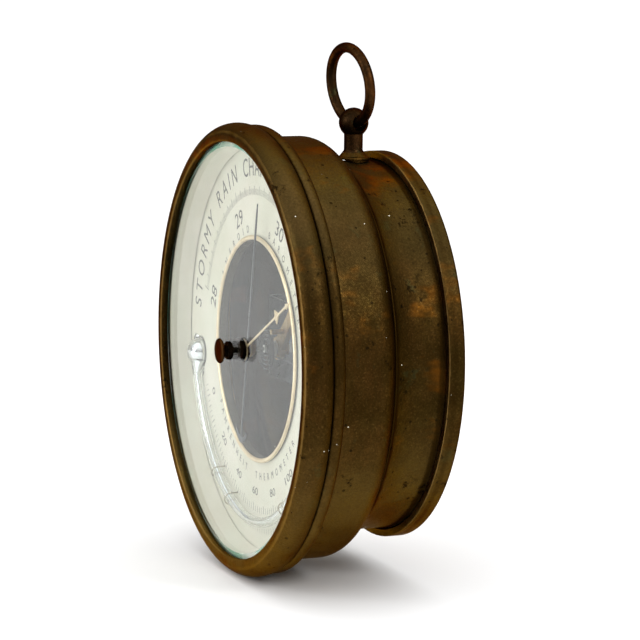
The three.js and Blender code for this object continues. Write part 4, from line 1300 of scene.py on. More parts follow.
@dataclass
class Case:
    """The bezel, the spun case, the back cover and the hoop that holds the dial."""

    finishes: Finishes
    window: float = 61.2
    lip: float = 1.6
    roll: tuple[float, float] = (62.68, 4.8)
    bead: tuple[float, float] = (64.6, 10.1)
    bezel_bore: float = 62.7
    bezel_length: float = 12.0
    barrel: float = 62.4
    barrel_front: float = 4.7
    shoulder: float = 24.0
    crease: tuple[float, float] = (57.2, 30.4)
    waist: tuple[float, float] = (54.8, 39.3)
    flange: float = 48.0
    wall: float = 0.8
    case_back: float = 49.9
    cover_front: float = 46.2
    cover_back: float = 51.4
    cover_rim: float = 57.6
    cover_bore: float = 55.3
    pendant_depth: float = 39.3
    adjust_hole: tuple[float, float, float] = (-13.0, 36.25, 3.4)
    screws: tuple[float, float] = (51.0, 1.3)
    screw_count: int = 3

    def build(self) -> None:
        """Makes every piece of the case."""
        self.make_bezel()
        self.make_drum()
        self.make_cover()
        redress(self.finishes.yellow_brass, "dial_support_ring")

    def make_bezel(self) -> None:
        """A rolled front, a groove, a narrow bead and a lip over the glass."""
        groove = 8.2
        outline = [(self.window, self.lip), (self.window, 0.8)]
        outline += arc((self.window + 0.7, 0.8), 0.7, 0.7, 180, 262, 5)
        outline += arc(self.roll, 4.0, 4.8, -88, 42, 26)
        outline += arc((self.bead[0] - 0.1, groove), 0.55, 0.3, 200, 350, 5)[1:4]
        outline += arc(self.bead, 1.4, 1.9, -64, 76, 12)
        outline += [(self.bezel_bore + 0.15, self.bezel_length), (self.bezel_bore, self.bezel_length - 0.15)]
        outline += [(self.bezel_bore, self.lip)]
        bezel = Bench.turned("bezel_ring", outline)
        fit(bezel, "case", self.finishes.bezel_brass, ("bezel",))

    def case_outline(self) -> Outline:
        """The outside of the case from the barrel's front edge to its rear flange.

        Returns:
            Radius and depth of each point.
        """
        centre_r = self.crease[0] + 0.6
        bend = self.crease[1] - self.shoulder - 1.2
        points = [(self.barrel, self.barrel_front), (self.barrel, self.bezel_length)]
        points += [(self.barrel, 18.0)]
        points += arc((centre_r, self.shoulder), self.barrel - centre_r, bend, 0, 72, 14)
        points += arc((self.crease[0] + 0.75, self.crease[1]), 0.75, 0.7, 215, 170, 4)
        drop = self.crease[0] - self.waist[0]
        for i in range(1, 12):
            t = i / 12
            depth = self.crease[1] + (self.waist[1] - self.crease[1]) * t
            points.append((self.waist[0] + drop * (1 - t) ** 2, depth))
        neck, front = self.waist[0], self.cover_front
        points += [self.waist, (neck, front - 1.6), (neck + 0.06, front - 1.0)]
        points += [(neck + 0.2, front - 0.2), (neck + 0.2, self.case_back)]
        return points

    def make_drum(self) -> None:
        """The one-piece spun case, bored for the pendant's stud and the plate's screws."""
        outside = self.case_outline()
        inside = inset(outside[:-1], self.wall)[::-1]
        flange_front = self.case_back - self.wall
        outline = outside + [(self.flange, self.case_back), (self.flange, flange_front)]
        outline += [(self.waist[0] + 0.2 - self.wall, flange_front)] + inside
        drum = Bench.turned("case_shell", outline)
        stud = [(0, 50), (2.3, 50), (2.3, 60), (0, 60)]
        tools = [Bench.turned("stud_bore", stud, 32, (0, self.pendant_depth), Axis.UPRIGHT)]
        circle, radius = self.screws
        for i in range(self.screw_count):
            x, z = polar(circle, 30 + 360 * i / self.screw_count)
            tools.append(Bench.pin("bore", x, z, radius, 46, 51, 24))
        Bench.bored(drum, *tools)
        fit(drum, "case", self.finishes.case_brass, ("case_drum",))

    def make_cover(self) -> None:
        """The snap-on back cover with a turned ring and the adjusting hole."""
        inside = self.cover_back - 1.0
        outline = [(0, inside), (self.cover_bore, inside), (self.cover_bore, self.cover_front + 0.3)]
        outline += [(self.cover_bore + 0.3, self.cover_front)]
        outline += arc((self.cover_rim - 0.5, self.cover_front + 0.5), 0.5, 0.5, -90, 0, 5)
        outline += arc((self.cover_rim - 1.0, self.cover_back - 1.0), 1.0, 1.0, 0, 90, 7)
        outline += [(52.2, self.cover_back), (51.9, self.cover_back - 0.22), (51.5, self.cover_back - 0.22)]
        outline += [(51.2, self.cover_back), (0, self.cover_back)]
        cover = Bench.turned("back_cap", outline)
        x, z, radius = self.adjust_hole
        hole = Bench.pin("bore", x, z, radius, inside - BORE_PAST, self.cover_back + BORE_PAST, SMALL_STEPS)
        Bench.bored(cover, hole)
        fit(cover, "case", self.finishes.cover_brass, ("back_cover",))


# ------------------------------------------------------------------ window and dial


@dataclass
class Window:
    """The bevelled cover glass and the silvered cone behind it."""

    finishes: Finishes
    front: float = 1.9
    back: float = 4.4
    edge: float = 62.3
    bevel_start: float = 59.7
    bevel_drop: float = 1.1
    bore: float = 1.5
    sight_front: float = 4.7
    sight_back: float = 11.0
    sight_outer: float = 61.3
    sight_inner: tuple[float, float] = (60.9, 59.4)

    def build(self) -> None:
        """Makes the glass and the sight ring."""
        self.make_glass()
        self.make_sight_ring()

    def make_glass(self) -> None:
        """A round glass with a wide polished bevel and the spindle's hole."""
        outline = [(self.bore, self.front), (self.bevel_start, self.front)]
        outline += [(self.edge, self.front + self.bevel_drop), (self.edge, self.back), (self.bore, self.back)]
        glass = Bench.turned("front_glass", outline)
        glass.data.materials.append(self.finishes.cover_glass)
        glass.data.materials.append(self.finishes.glass_edge)
        for face in glass.data.polygons:
            radius = math.hypot(face.center.x, face.center.z) / MM
            face.material_index = 1 if radius > self.bevel_start else 0
            if abs(face.normal.y) > 0.99:
                face.material_index = 0
        fit(glass, "case", None, ("cover_glass",), smooth=10.0)

    def make_sight_ring(self) -> None:
        """The cone between the glass and the dial."""
        wide, narrow = self.sight_inner
        outline = [(wide, self.sight_front), (self.sight_outer, self.sight_front)]
        outline += [(self.sight_outer, self.sight_back), (narrow, self.sight_back)]
        outline += [(narrow + 0.12, self.sight_back - 0.25)]
        ring = Bench.turned("sight_cone", outline)
        fit(ring, "case", self.finishes.silvered_dial, ("sight_ring",))


@dataclass(frozen=True)
class ArcWords:
    """Words on an arc of the dial."""

    text: str
    radius: float
    start: float
    end: float
    height: float
    reading: Reading = Reading.TOPS_OUT


@dataclass
class Dial:
    """The silvered dial, the moulding round its opening, and all that is engraved on it."""

    finishes: Finishes
    front: float = 11.3
    back: float = 12.5
    outer: float = 61.3
    hole: float = 33.0
    moulding: tuple[float, float] = (32.2, 33.6)
    moulding_front: float = 10.0
    bulb: tuple[float, float, float] = (51.0, -99.5, 4.9)
    clips: tuple[float, ...] = (-145.5, -160.7, -214.5)
    wax: float = 0.03
    letter_width: float = 0.84
    words: tuple[ArcWords, ...] = (
        ArcWords("STORMY", 51.0, -84.0, -49.0, 5.5),
        ArcWords("RAIN", 51.0, -42.0, -21.5, 5.5),
        ArcWords("CHANGE", 51.0, -15.0, 15.0, 5.5),
        ArcWords("FAIR", 51.0, 21.5, 43.0, 5.5),
        ArcWords("VERY DRY", 51.0, 49.0, 84.0, 4.9),
        ArcWords("ANEROID", 34.7, -60.0, -14.0, 2.15),
        ArcWords("BAROMETER", 34.7, 13.5, 70.0, 2.15),
        ArcWords("FAHRENHEIT", 38.7, -123.0, -168.0, 2.1, Reading.TOPS_IN),
        ArcWords("THERMOMETER", 38.7, 181.0, 126.0, 2.1, Reading.TOPS_IN),
    )
    inches: tuple[tuple[str, float], ...] = (("28", -75.0), ("29", -25.0), ("30", 25.0), ("31", 75.0))
    degrees: tuple[tuple[str, float], ...] = (
        ("0", -116.2),
        ("20", -138.5),
        ("40", -159.4),
        ("60", -179.0),
        ("80", 161.0),
        ("100", 141.0),
    )

    def build(self) -> None:
        """Makes the dial's plate, its moulding and its engraving."""
        self.make_plate()
        self.make_moulding()
        self.engrave_words()
        self.engrave_inches()
        self.engrave_degrees()

    def make_plate(self) -> None:
        """The flat ring with holes for the bulb and the tube's clips."""
        outline = [(self.hole, self.front), (self.outer - 0.15, self.front), (self.outer, self.front + 0.15)]
        outline += [(self.outer, self.back), (self.hole, self.back)]
        plate = Bench.turned("dial_plate", outline)
        radius, angle, bore = self.bulb
        ends = (self.front - BORE_PAST, self.back + BORE_PAST)
        tools = [Bench.pin("bore", *polar(radius, angle), bore, *ends, 64)]
        for clip in self.clips:
            for side in (-1, 1):
                tools.append(Bench.pin("bore", *polar(radius + side * 2.1, clip), 0.5, *ends, 16))
        Bench.bored(plate, *tools)
        fit(plate, "case", self.finishes.silvered_dial, ("dial",))

    def make_moulding(self) -> None:
        """The half-round moulding round the opening, with its tube behind the dial."""
        inner, outer = self.moulding
        middle = (inner + outer) / 2
        half = (outer - inner) / 2
        outline = [(inner, self.back + 0.9), (inner, self.moulding_front + 0.7)]
        outline += arc((middle, self.moulding_front + 0.7), half, 0.7, 180, 360, 12)[1:-1]
        outline += [(outer, self.moulding_front + 0.7), (outer, self.front - 0.3)]
        outline += [(inner + 0.5, self.front - 0.3), (inner + 0.5, self.back + 0.9)]
        ring = Bench.turned("opening_moulding", outline)
        ring.data.materials.append(self.finishes.pale_brass)
        ring.data.materials.append(self.finishes.shaded_brass)
        # faces behind the bead take the dark brass, painted shade on the moulding's inner wall
        for face in ring.data.polygons:
            deep = depth_of(face.center.y) > self.moulding_front + 0.75
            face.material_index = 1 if deep else 0
        fit(ring, "case", None, ("aperture_rim",))

    def lettered(self, words: ArcWords) -> bpy.types.Object:
        """One word bent along its arc.

        Args:
            words: The word and its place.

        Returns:
            A flat mesh on the dial's face.
        """
        bpy.ops.object.select_all(action="DESELECT")
        bpy.ops.object.text_add(location=(0, 0, 0))
        thing = bpy.context.object
        thing.data.body = words.text
        thing.data.size = words.height / CAP_HEIGHT
        thing.data.resolution_u = 4
        middle = words.radius + words.reading.value * words.height / 2
        needed = math.radians(abs(words.end - words.start)) * middle / self.letter_width
        if len(words.text) > 3:
            thing.data.space_character = self.spacing(thing, needed)
        bpy.ops.object.convert(target="MESH")
        thing = bpy.context.object
        left = min(v.co.x for v in thing.data.vertices)
        width = max(v.co.x for v in thing.data.vertices) - left
        side = words.reading.value
        for vertex in thing.data.vertices:
            share = (vertex.co.x - left) / width
            angle = words.start + (words.end - words.start) * share
            vertex.co = on_dial(words.radius + side * vertex.co.y, angle, self.front - self.wax)
        return self.thickened(thing)

    @staticmethod
    def spacing(thing: bpy.types.Object, needed: float) -> float:
        """How far apart letters stand to fill a length without being stretched.

        Args:
            thing: The text.
            needed: The length in millimetres, which is also the text's unit.

        Returns:
            The letter spacing.
        """
        widths = []
        for spacing in (1.0, 2.0):
            thing.data.space_character = spacing
            bpy.context.view_layer.update()
            widths.append(thing.dimensions.x)
        return max(0.6, 1.0 + (needed - widths[0]) / (widths[1] - widths[0]))

    def thickened(self, thing: bpy.types.Object) -> bpy.types.Object:
        """Gives flat faces on the dial the thickness of the wax.

        Args:
            thing: The flat mesh.

        Returns:
            The same object, closed.
        """
        with editing(thing):
            bpy.ops.mesh.remove_doubles(threshold=0.001 * MM)
            bpy.ops.mesh.extrude_region_move(TRANSFORM_OT_translate={"value": (0, self.wax * 1.5 * MM, 0)})
        return Bench.tidied(thing)

    def tick(self, inner: float, outer: float, width: float) -> bpy.types.Object:
        """One engraved line at twelve o'clock.

        Args:
            inner: Radius of its inner end.
            outer: Radius of its outer end.
            width: Its width.

        Returns:
            The new object.
        """
        half = width / 2
        outline = [(-half, inner), (half, inner), (half, outer), (-half, outer)]
        return Bench.plate("tick", outline, self.front - self.wax, self.front + self.wax / 2)

    def ring_of(self, ticks: Sequence[tuple[float, float, float, float]]) -> list[bpy.types.Object]:
        """Lines round the dial, one modelled for each kind and the others copied.

        Args:
            ticks: Inner radius, outer radius, width and angle of each line.

        Returns:
            The lines.
        """
        kinds: dict[tuple[float, float, float], bpy.types.Object] = {}
        made = []
        centre = place(0, 0, 0)
        for inner, outer, width, angle in ticks:
            key = (inner, outer, width)
            if key not in kinds:
                kinds[key] = self.tick(*key)
            made.append(Bench.copied(kinds[key], "tick", turn_about(centre, math.radians(angle), "Y")))
        for thing in kinds.values():
            bpy.data.objects.remove(thing)
        return made

    def engrave_words(self) -> None:
        """The weather words and the names of the two instruments."""
        piece = Bench.gathered("dial_words", [self.lettered(words) for words in self.words])
        fit(piece, "case", self.finishes.engraving_wax, smooth=1.0)

    def engrave_inches(self) -> None:
        """The barometer's figures and its scale."""
        things = [self.lettered(ArcWords(text, 38.2, at - 4.6, at + 4.6, 4.5)) for text, at in self.inches]
        ticks = []
        for i in range(151):
            angle = -75.0 + i
            outer = 48.6 if i % 50 == 0 else 48.0 if i % 5 == 0 else 47.2
            ticks.append((45.4, outer, 0.22 if i % 5 == 0 else 0.13, angle))
        things += self.ring_of(ticks)
        piece = Bench.gathered("barometer_scale", things)
        fit(piece, "case", self.finishes.engraving_wax, smooth=1.0)

    def engrave_degrees(self) -> None:
        """The thermometer's figures and the lines on both sides of its tube."""
        things = []
        for text, at in self.degrees:
            half = 1.5 * len(text)
            words = ArcWords(text, 43.8, at + half, at - half, 2.3, Reading.TOPS_IN)
            things.append(self.lettered(words))
        ticks = []
        for i in range(66):
            angle = -112.0 - 2.05 * i
            long = i % 5 == 2
            ticks.append((46.4 if long else 47.0, 48.8, 0.2 if long else 0.14, angle))
            ticks.append((52.9, 54.6, 0.12, angle))
        things += self.ring_of(ticks)
        piece = Bench.gathered("thermometer_scale", things)
        fit(piece, "case", self.finishes.engraving_wax, smooth=1.0)


# ------------------------------------------------------------------ pendant and ring


@dataclass
class Hanger:
    """The pendant on the case and the ring that swings in it."""

    finishes: Finishes
    case: Case
    depth: float = 39.3
    foot_radius: float = 4.9
    foot_bottom: float = 55.1
    foot_height: float = 1.1
    neck_foot: float = 58.0
    neck: float = 2.8
    ball: float = 4.4
    ball_z: float = 66.3
    wire: float = 1.55
    ring_radius: float = 11.1
    yaw: float = 8.7
    lean: float = -6.6
    gap: float = 0.3

    def build(self) -> None:
        """Makes the pendant and its ring."""
        self.make_pendant()
        self.make_ring()
        redress(self.finishes.yellow_brass, "pendant_nut")

    def swing_axis(self) -> Vector:
        """The direction of the hole through the ball."""
        turn = math.radians(self.yaw)
        return Vector((math.cos(turn), math.sin(turn), 0.0))

    def make_pendant(self) -> None:
        """A foot that fits the case, a cone, a waisted neck and a pierced ball."""
        radius = self.foot_radius
        top = self.foot_bottom + self.foot_height
        outline = [(0, 53.8), (radius - 0.2, 53.8), (radius - 0.2, self.foot_bottom)]
        outline += arc((radius - 0.25, top - self.foot_height / 2), 0.25, self.foot_height / 2, -80, 80, 6)
        outline += [(radius - 0.5, top + 0.02)]
        outline += [(radius - 0.5 - 1.15 * t, top + 1.35 * t ** 1.25) for t in (0.25, 0.5, 0.75, 1.0)]
        outline += [(self.neck + 0.12, self.neck_foot - 0.1), (self.neck, self.neck_foot + 0.3)]
        start = -math.degrees(math.acos(self.neck / self.ball))
        outline += arc((0, self.ball_z), self.ball, self.ball, start, 90, 22)[:-1]
        outline += [(0, self.ball_z + self.ball)]
        body = Bench.turned("pendant_knob", outline, 64, (0, self.depth), Axis.UPRIGHT)
        around = inset(self.case.case_outline(), -self.gap)
        envelope = [(0, around[0][1])] + around + [(0, around[-1][1])]
        Bench.bored(body, Bench.turned("envelope", envelope))
        stud = [(0, 50.7), (2.0, 50.7), (2.0, top), (0, top)]
        Bench.joined(body, Bench.turned("stud", stud, 32, (0, self.depth), Axis.UPRIGHT))
        Bench.bored(body, self.ring_hole())
        body.data.materials.append(self.finishes.dark_bronze)
        body.data.materials.append(self.finishes.foot_brass)
        for face in body.data.polygons:
            face.material_index = 1 if face.center.z / MM < self.neck_foot - 0.3 else 0
        fit(body, "case", None, ("pendant",), smooth=40.0)

    def ring_hole(self) -> bpy.types.Object:
        """A cutter for the flared hole that lets the wire swing.

        Returns:
            The cutter, along the hole's own direction.
        """
        half = self.ball + 0.6
        points = []
        for i in range(13):
            along = half * (2 * i / 12 - 1)
            points.append((self.wire + self.gap + along * along / (2 * self.ring_radius), along))
        outline = [(0.0, -half)] + points + [(0.0, half)]
        direction = self.swing_axis()
        out = Vector((0, 0, 1))
        middle = place(0, self.depth, self.ball_z)
        section = [middle + (out * r + direction * a) * MM for r, a in outline]
        return Bench.spun(Bench.drawn("hole", section), middle, direction, steps=40)

    def make_ring(self) -> None:
        """The round-wire ring, hung from the ball's middle and leaning on its own."""
        direction = self.swing_axis()
        lean = math.radians(self.lean)
        front = Vector((direction.y, -direction.x, 0.0))
        rise = Vector((0, 0, math.cos(lean))) - front * math.sin(lean)
        middle = place(0, self.depth, self.ball_z)
        centre = middle + rise * self.ring_radius * MM
        axis = direction.cross(rise)
        ring = Bench.hoop("hanging_ring", middle, direction, self.wire - 0.01, centre, axis, 360, 120, 32)
        fit(ring, "suspension_ring", self.finishes.dark_bronze, ("suspension_ring",))


# ------------------------------------------------------------------ hands


@dataclass
class SetHand:
    """The knurled knob, the boss behind the glass and the set hand."""

    finishes: Finishes
    head: float = 3.7
    head_front: float = -2.7
    head_back: float = -1.4
    neck: float = 1.9
    collar: float = 2.75
    collar_front: float = 0.1
    collar_back: float = 1.6
    spindle: float = 1.2
    spindle_end: float = 7.3
    boss: tuple[float, float, float] = (3.65, 4.7, 6.5)
    hand_front: float = 6.8
    hand_back: float = 7.2
    length: float = 41.5
    angle: float = 63.0

    def build(self) -> None:
        """Makes the three pieces."""
        self.make_knob()
        self.make_boss()
        self.make_hand()

    def make_knob(self) -> None:
        """The domed head, the neck and the knurled collar on the spindle."""
        crown = 0.35
        outline = [(0, self.head_front)]
        outline += [(self.head * t, self.head_front + crown * t ** 3) for t in (0.3, 0.5, 0.7, 0.84)]
        outline += arc((self.head - 0.5, (self.head_front + self.head_back) / 2 + 0.1), 0.5, 0.5, -60, 80, 8)
        outline += [(self.neck + 0.5, self.head_back), (self.neck + 0.12, self.head_back + 0.15)]
        outline += [(self.neck, self.head_back + 0.5), (self.neck, self.collar_front - 0.2)]
        outline += [(self.neck + 0.2, self.collar_front), (self.collar - 0.35, self.collar_front)]
        root = self.collar - 0.18
        outline += [(root, self.collar_front + 0.2), (root, self.collar_back - 0.2)]
        outline += [(self.collar - 0.35, self.collar_back), (self.spindle, self.collar_back)]
        outline += [(self.spindle, self.spindle_end - 0.1), (self.spindle - 0.1, self.spindle_end)]
        outline += [(0, self.spindle_end)]
        knob = Bench.turned("set_knob_turned", outline, KNURL_FACETS)
        self.knurl(knob)
        knob.data.materials.append(self.finishes.dark_bronze)
        knob.data.materials.append(self.finishes.black_bronze)
        for face in knob.data.polygons:
            behind = depth_of(face.center.y) > self.head_back - 0.05
            face.material_index = 1 if behind else 0
        fit(knob, "set_hand", None, ("set_knob",), smooth=28.0)

    def knurl(self, knob: bpy.types.Object) -> None:
        """Raises every third facet round the collar as a rib.

        Args:
            knob: The turned knob.
        """
        with editing(knob) as edit:
            bpy.ops.mesh.select_all(action="DESELECT")
            bpy.ops.mesh.select_mode(type="FACE")
            collar_middle = LIP_Y + (self.collar_front + self.collar_back) / 2 * MM
            for face in edit.faces:
                middle = face.calc_center_median()
                turn = math.degrees(math.atan2(middle.z, middle.x)) % 360
                rib = int(turn / (360 / KNURL_FACETS)) % 3 == 0
                outward = abs(face.normal.y) < 0.2
                ring = math.hypot(middle.x, middle.z) / MM
                on_collar = abs(middle.y - collar_middle) < 0.3 * MM and ring > self.collar - 0.3
                face.select_set(rib and outward and on_collar)
            bmesh.update_edit_mesh(knob.data)
            bpy.ops.mesh.extrude_region_shrink_fatten(TRANSFORM_OT_shrink_fatten={"value": 0.16 * MM})

    def make_boss(self) -> None:
        """The round boss behind the glass, with a turned groove."""
        radius, front, back = self.boss
        bore = self.spindle + 0.3
        outline = [(bore, front), (radius - 1.6, front), (radius - 1.4, front + 0.15)]
        outline += [(radius - 1.1, front + 0.15), (radius - 0.9, front), (radius - 0.3, front)]
        outline += arc((radius - 0.3, (front + back) / 2), 0.3, (back - front) / 2, -60, 60, 6)
        outline += [(radius - 0.3, back), (bore, back)]
        boss = Bench.turned("hand_boss", outline, 64)
        fit(boss, "set_hand", self.finishes.black_bronze, ("set_hand_boss",))

    def make_hand(self) -> None:
        """The thin hand with an arrow's flight and a pointed head."""
        flight = self.length * 0.78
        half = [(0.36, 2.9), (0.3, flight - 3.9), (0.5, flight - 3.3), (2.2, flight - 2.9)]
        half += [(1.5, flight - 2.0), (0.6, flight - 0.9), (0.34, flight)]
        half += [(0.32, self.length - 3.2), (0.9, self.length - 3.0)]
        outline = half + [(0.0, self.length)] + [(-x, z) for x, z in reversed(half)]
        hand = Bench.plate("set_hand_blade", outline, self.hand_front, self.hand_back, self.angle)
        bore, rim = self.spindle + 0.3, 3.2
        ring = [(bore, self.hand_front), (rim, self.hand_front)]
        ring += [(rim, self.hand_back), (bore, self.hand_back)]
        Bench.joined(hand, Bench.turned("eye", ring, SMALL_STEPS))
        Bench.filed(hand, 0.09)
        fit(hand, "set_hand", self.finishes.pale_brass, ("set_hand",), smooth=25.0)


@dataclass
class PointerTrain:
    """The pointer, its collet and the hairspring."""

    finishes: Finishes
    front: float = 7.9
    back: float = 8.3
    length: float = 44.5
    tail: float = 29.0
    angle: float = 9.5
    bore: float = 0.9
    collet: tuple[float, float, float] = (2.2, 8.6, 10.2)
    spring_depth: float = 14.0
    spring_inner: float = 1.7
    spring_outer: float = 7.0
    spring_turns: int = 4

    def build(self) -> None:
        """Makes the pieces that turn with the pointer and its spring."""
        self.make_pointer()
        self.make_collet()
        self.make_hairspring()
        redress(self.finishes.steel, "hand_arbor")
        redress(self.finishes.yellow_brass, "hairspring_stud")

    def make_pointer(self) -> None:
        """A slim blade, and a tail that ends in a crescent."""
        end = self.tail
        blade = [(0.8, 2.0), (0.5, 6), (0.42, 20), (0.34, self.length - 5)]
        outline = blade + [(0.0, self.length)] + [(-x, z) for x, z in reversed(blade)]
        tail = [(-0.75, -2.0), (-0.36, -7)]
        tail += [(-0.36, 2.3 - end), (-1.5, 2.2 - end), (-2.7, 2.8 - end), (-3.4, 3.5 - end)]
        tail += [(-4.0, 4.3 - end), (-3.9, 2.9 - end), (-3.3, 1.7 - end), (-2.3, 0.8 - end)]
        tail += [(-1.1, 0.2 - end)]
        outline += tail + [(0.0, -end)] + [(-x, z) for x, z in reversed(tail)]
        pointer = Bench.plate("pointer_blade", outline, self.front, self.back, self.angle)
        Bench.joined(pointer, Bench.pin("eye", 0, 0, self.collet[0], self.front, self.back, SMALL_STEPS))
        ends = (self.front - BORE_PAST, self.back + BORE_PAST)
        Bench.bored(pointer, Bench.pin("bore", 0, 0, self.bore, *ends))
        Bench.filed(pointer, 0.08)
        fit(pointer, "pointer", self.finishes.blued_steel, ("pointer",), smooth=25.0)

    def make_collet(self) -> None:
        """The turned collet under the pointer."""
        radius, front, back = self.collet
        outline = [(self.bore, front), (radius - 0.25, front), (radius, front + 0.25), (radius, front + 0.9)]
        outline += [(radius - 0.5, front + 1.1), (radius - 0.5, back - 0.15)]
        outline += [(radius - 0.65, back), (self.bore, back)]
        collet = Bench.turned("collet_turned", outline, SMALL_STEPS)
        fit(collet, "pointer", self.finishes.yellow_brass, ("pointer_collet",))

    def make_hairspring(self) -> None:
        """A flat ribbon wound out from the arbor to its stud."""
        steps = self.spring_turns * SMALL_STEPS
        points = []
        for i in range(steps + 1):
            share = i / steps
            radius = self.spring_inner + (self.spring_outer - self.spring_inner) * share
            angle = 45 - 360 * self.spring_turns * (1 - share)
            points.append(on_dial(radius, angle, self.spring_depth - 0.38))
        spring = Bench.drawn("hairspring_ribbon", points)
        with editing(spring):
            bpy.ops.mesh.extrude_region_move(TRANSFORM_OT_translate={"value": (0, 0.76 * MM, 0)})
        Bench.modified(spring, "SOLIDIFY", thickness=0.2 * MM, offset=0.0)
        Bench.tidied(spring)
        fit(spring, "case", self.finishes.blued_steel, ("hairspring",))


# ------------------------------------------------------------------ thermometer


@dataclass
class Thermometer:
    """The curved tube with its bulb, the mercury and three wire clips."""

    finishes: Finishes
    arc_radius: float = 51.0
    depth: float = 9.5
    bulb_depth: float = 11.3
    tube: float = 1.5
    bore: float = 0.75
    thread: float = 0.42
    bulb: float = 4.6
    bulb_wall: float = 0.7
    start: float = -99.5
    end: float = -245.0
    reading: float = -181.0
    clips: tuple[float, ...] = (-145.5, -160.7, -214.5)
    clip_wire: float = 0.2

    def build(self) -> None:
        """Makes the tube, the mercury and the clips."""
        self.make_tube()
        self.make_mercury()
        for i, angle in enumerate(self.clips):
            self.make_clip(i + 1, angle)

    def bent(
        self, name: str, radius: float, start: float, end: float, steps: int, sides: int
    ) -> bpy.types.Object:
        """A round length along the tube's arc.

        Args:
            name: The object's name.
            radius: Its radius.
            start: Dial angle of its first end.
            end: Dial angle of its other end.
            steps: Spans along it.
            sides: Facets round it.

        Returns:
            The new object.
        """
        turn = math.radians(start)
        facing = Vector((math.cos(turn), 0, -math.sin(turn)))
        middle = on_dial(self.arc_radius, start, self.depth)
        centre, axis = place(0, self.depth, 0), Vector((0, 1, 0))
        return Bench.hoop(name, middle, facing, radius, centre, axis, end - start, steps, sides)

    def ball(self, name: str, radius: float) -> bpy.types.Object:
        """A ball at the bulb.

        Args:
            name: The object's name.
            radius: Its radius.

        Returns:
            The new object.
        """
        outline = [(0.0, self.bulb_depth - radius)]
        outline += arc((0, self.bulb_depth), radius, radius, -90, 90, 28)[1:-1]
        outline += [(0.0, self.bulb_depth + radius)]
        return Bench.turned(name, outline, 56, polar(self.arc_radius, self.start))

    def tapered(self, name: str, start: float, end: float, wide: float, narrow: float) -> bpy.types.Object:
        """A straight cone from the bulb's middle to a point on the tube's arc.

        Args:
            name: The object's name.
            start: Dial angle of its wide end.
            end: Dial angle of its narrow end.
            wide: Radius at its wide end.
            narrow: Radius at its narrow end.

        Returns:
            The new object.
        """
        foot = on_dial(self.arc_radius, start, self.bulb_depth)
        head = on_dial(self.arc_radius, end, self.depth)
        along = (head - foot).normalized()
        out = along.orthogonal().normalized()
        length = (head - foot).length
        section = [foot]
        for i in range(9):
            share = i / 8
            bulge = narrow + (wide - narrow) * (1 - share) ** 1.25
            section.append(foot + along * length * share + out * bulge * MM)
        section.append(head)
        return Bench.spun(Bench.drawn(name, section), foot, along, steps=40)

    def make_tube(self) -> None:
        """The hollow tube and bulb, with the sealed tip above the bulb."""
        tip = self.start + math.degrees((self.bulb + 1.3) / self.arc_radius)
        glass = self.bent("thermometer_glass", self.tube, self.start, self.end, 96, 28)
        nipple = self.tapered("nipple", self.start, tip, self.bulb * 0.8, 0.25)
        shoulder = self.start - math.degrees(self.bulb * 1.75 / self.arc_radius)
        taper = self.tapered("taper", self.start, shoulder, self.bulb * 0.92, self.tube * 0.9)
        Bench.joined(glass, self.ball("bulb", self.bulb), nipple, taper)
        bore = self.bent("bore", self.bore, self.start - 1.0, self.end - 1.0, 96, 16)
        hollow = self.bulb - self.bulb_wall
        throat = self.tapered("throat", self.start, shoulder + 1.0, hollow * 0.92, self.bore)
        Bench.bored(glass, bore, self.ball("hollow", hollow), throat)
        fit(glass, "case", self.finishes.tube_glass, ("thermometer_tube",), smooth=50.0)

    def make_mercury(self) -> None:
        """The bulb's filling and the thread up to the reading."""
        radius = self.bulb - self.bulb_wall - 0.25
        shoulder = self.start - math.degrees(self.bulb * 1.5 / self.arc_radius)
        filling = self.ball("mercury_filling", radius)
        throat = self.tapered("throat", self.start, shoulder, radius * 0.9, self.thread)
        Bench.joined(filling, throat, self.bent("thread", self.thread, self.start, self.reading, 64, 14))
        fit(filling, "case", self.finishes.mercury, ("thermometer_mercury",), smooth=50.0)

    def make_clip(self, number: int, angle: float) -> None:
        """A staple of round wire over the tube.

        Args:
            number: Which clip it is.
            angle: Its dial angle.
        """
        turn = math.radians(angle)
        out = Vector((math.sin(turn), 0, math.cos(turn)))
        reach = (self.tube + 0.3 + self.clip_wire) * MM
        centre = on_dial(self.arc_radius, angle, self.depth)
        foot = Vector((0, (12.8 - self.depth) * MM, 0))
        deep = Vector((0, 1, 0))
        points = [centre + out * reach + foot, centre + out * reach]
        for i in range(1, 16):
            bend = math.pi * i / 16
            points.append(centre + out * reach * math.cos(bend) - deep * reach * math.sin(bend))
        points += [centre - out * reach, centre - out * reach + foot]
        clip = Bench.drawn(f"clip_{number}", points)
        pick(clip)
        bpy.ops.object.convert(target="CURVE")
        clip = bpy.context.object
        clip.data.bevel_depth = self.clip_wire * MM
        clip.data.bevel_resolution = 3
        clip.data.use_fill_caps = True
        bpy.ops.object.convert(target="MESH")
        clip = Bench.tidied(bpy.context.object)
        fit(clip, "case", self.finishes.clip_wire, (f"tube_clip_{number}",), smooth=50.0)


# ------------------------------------------------------------------ movement


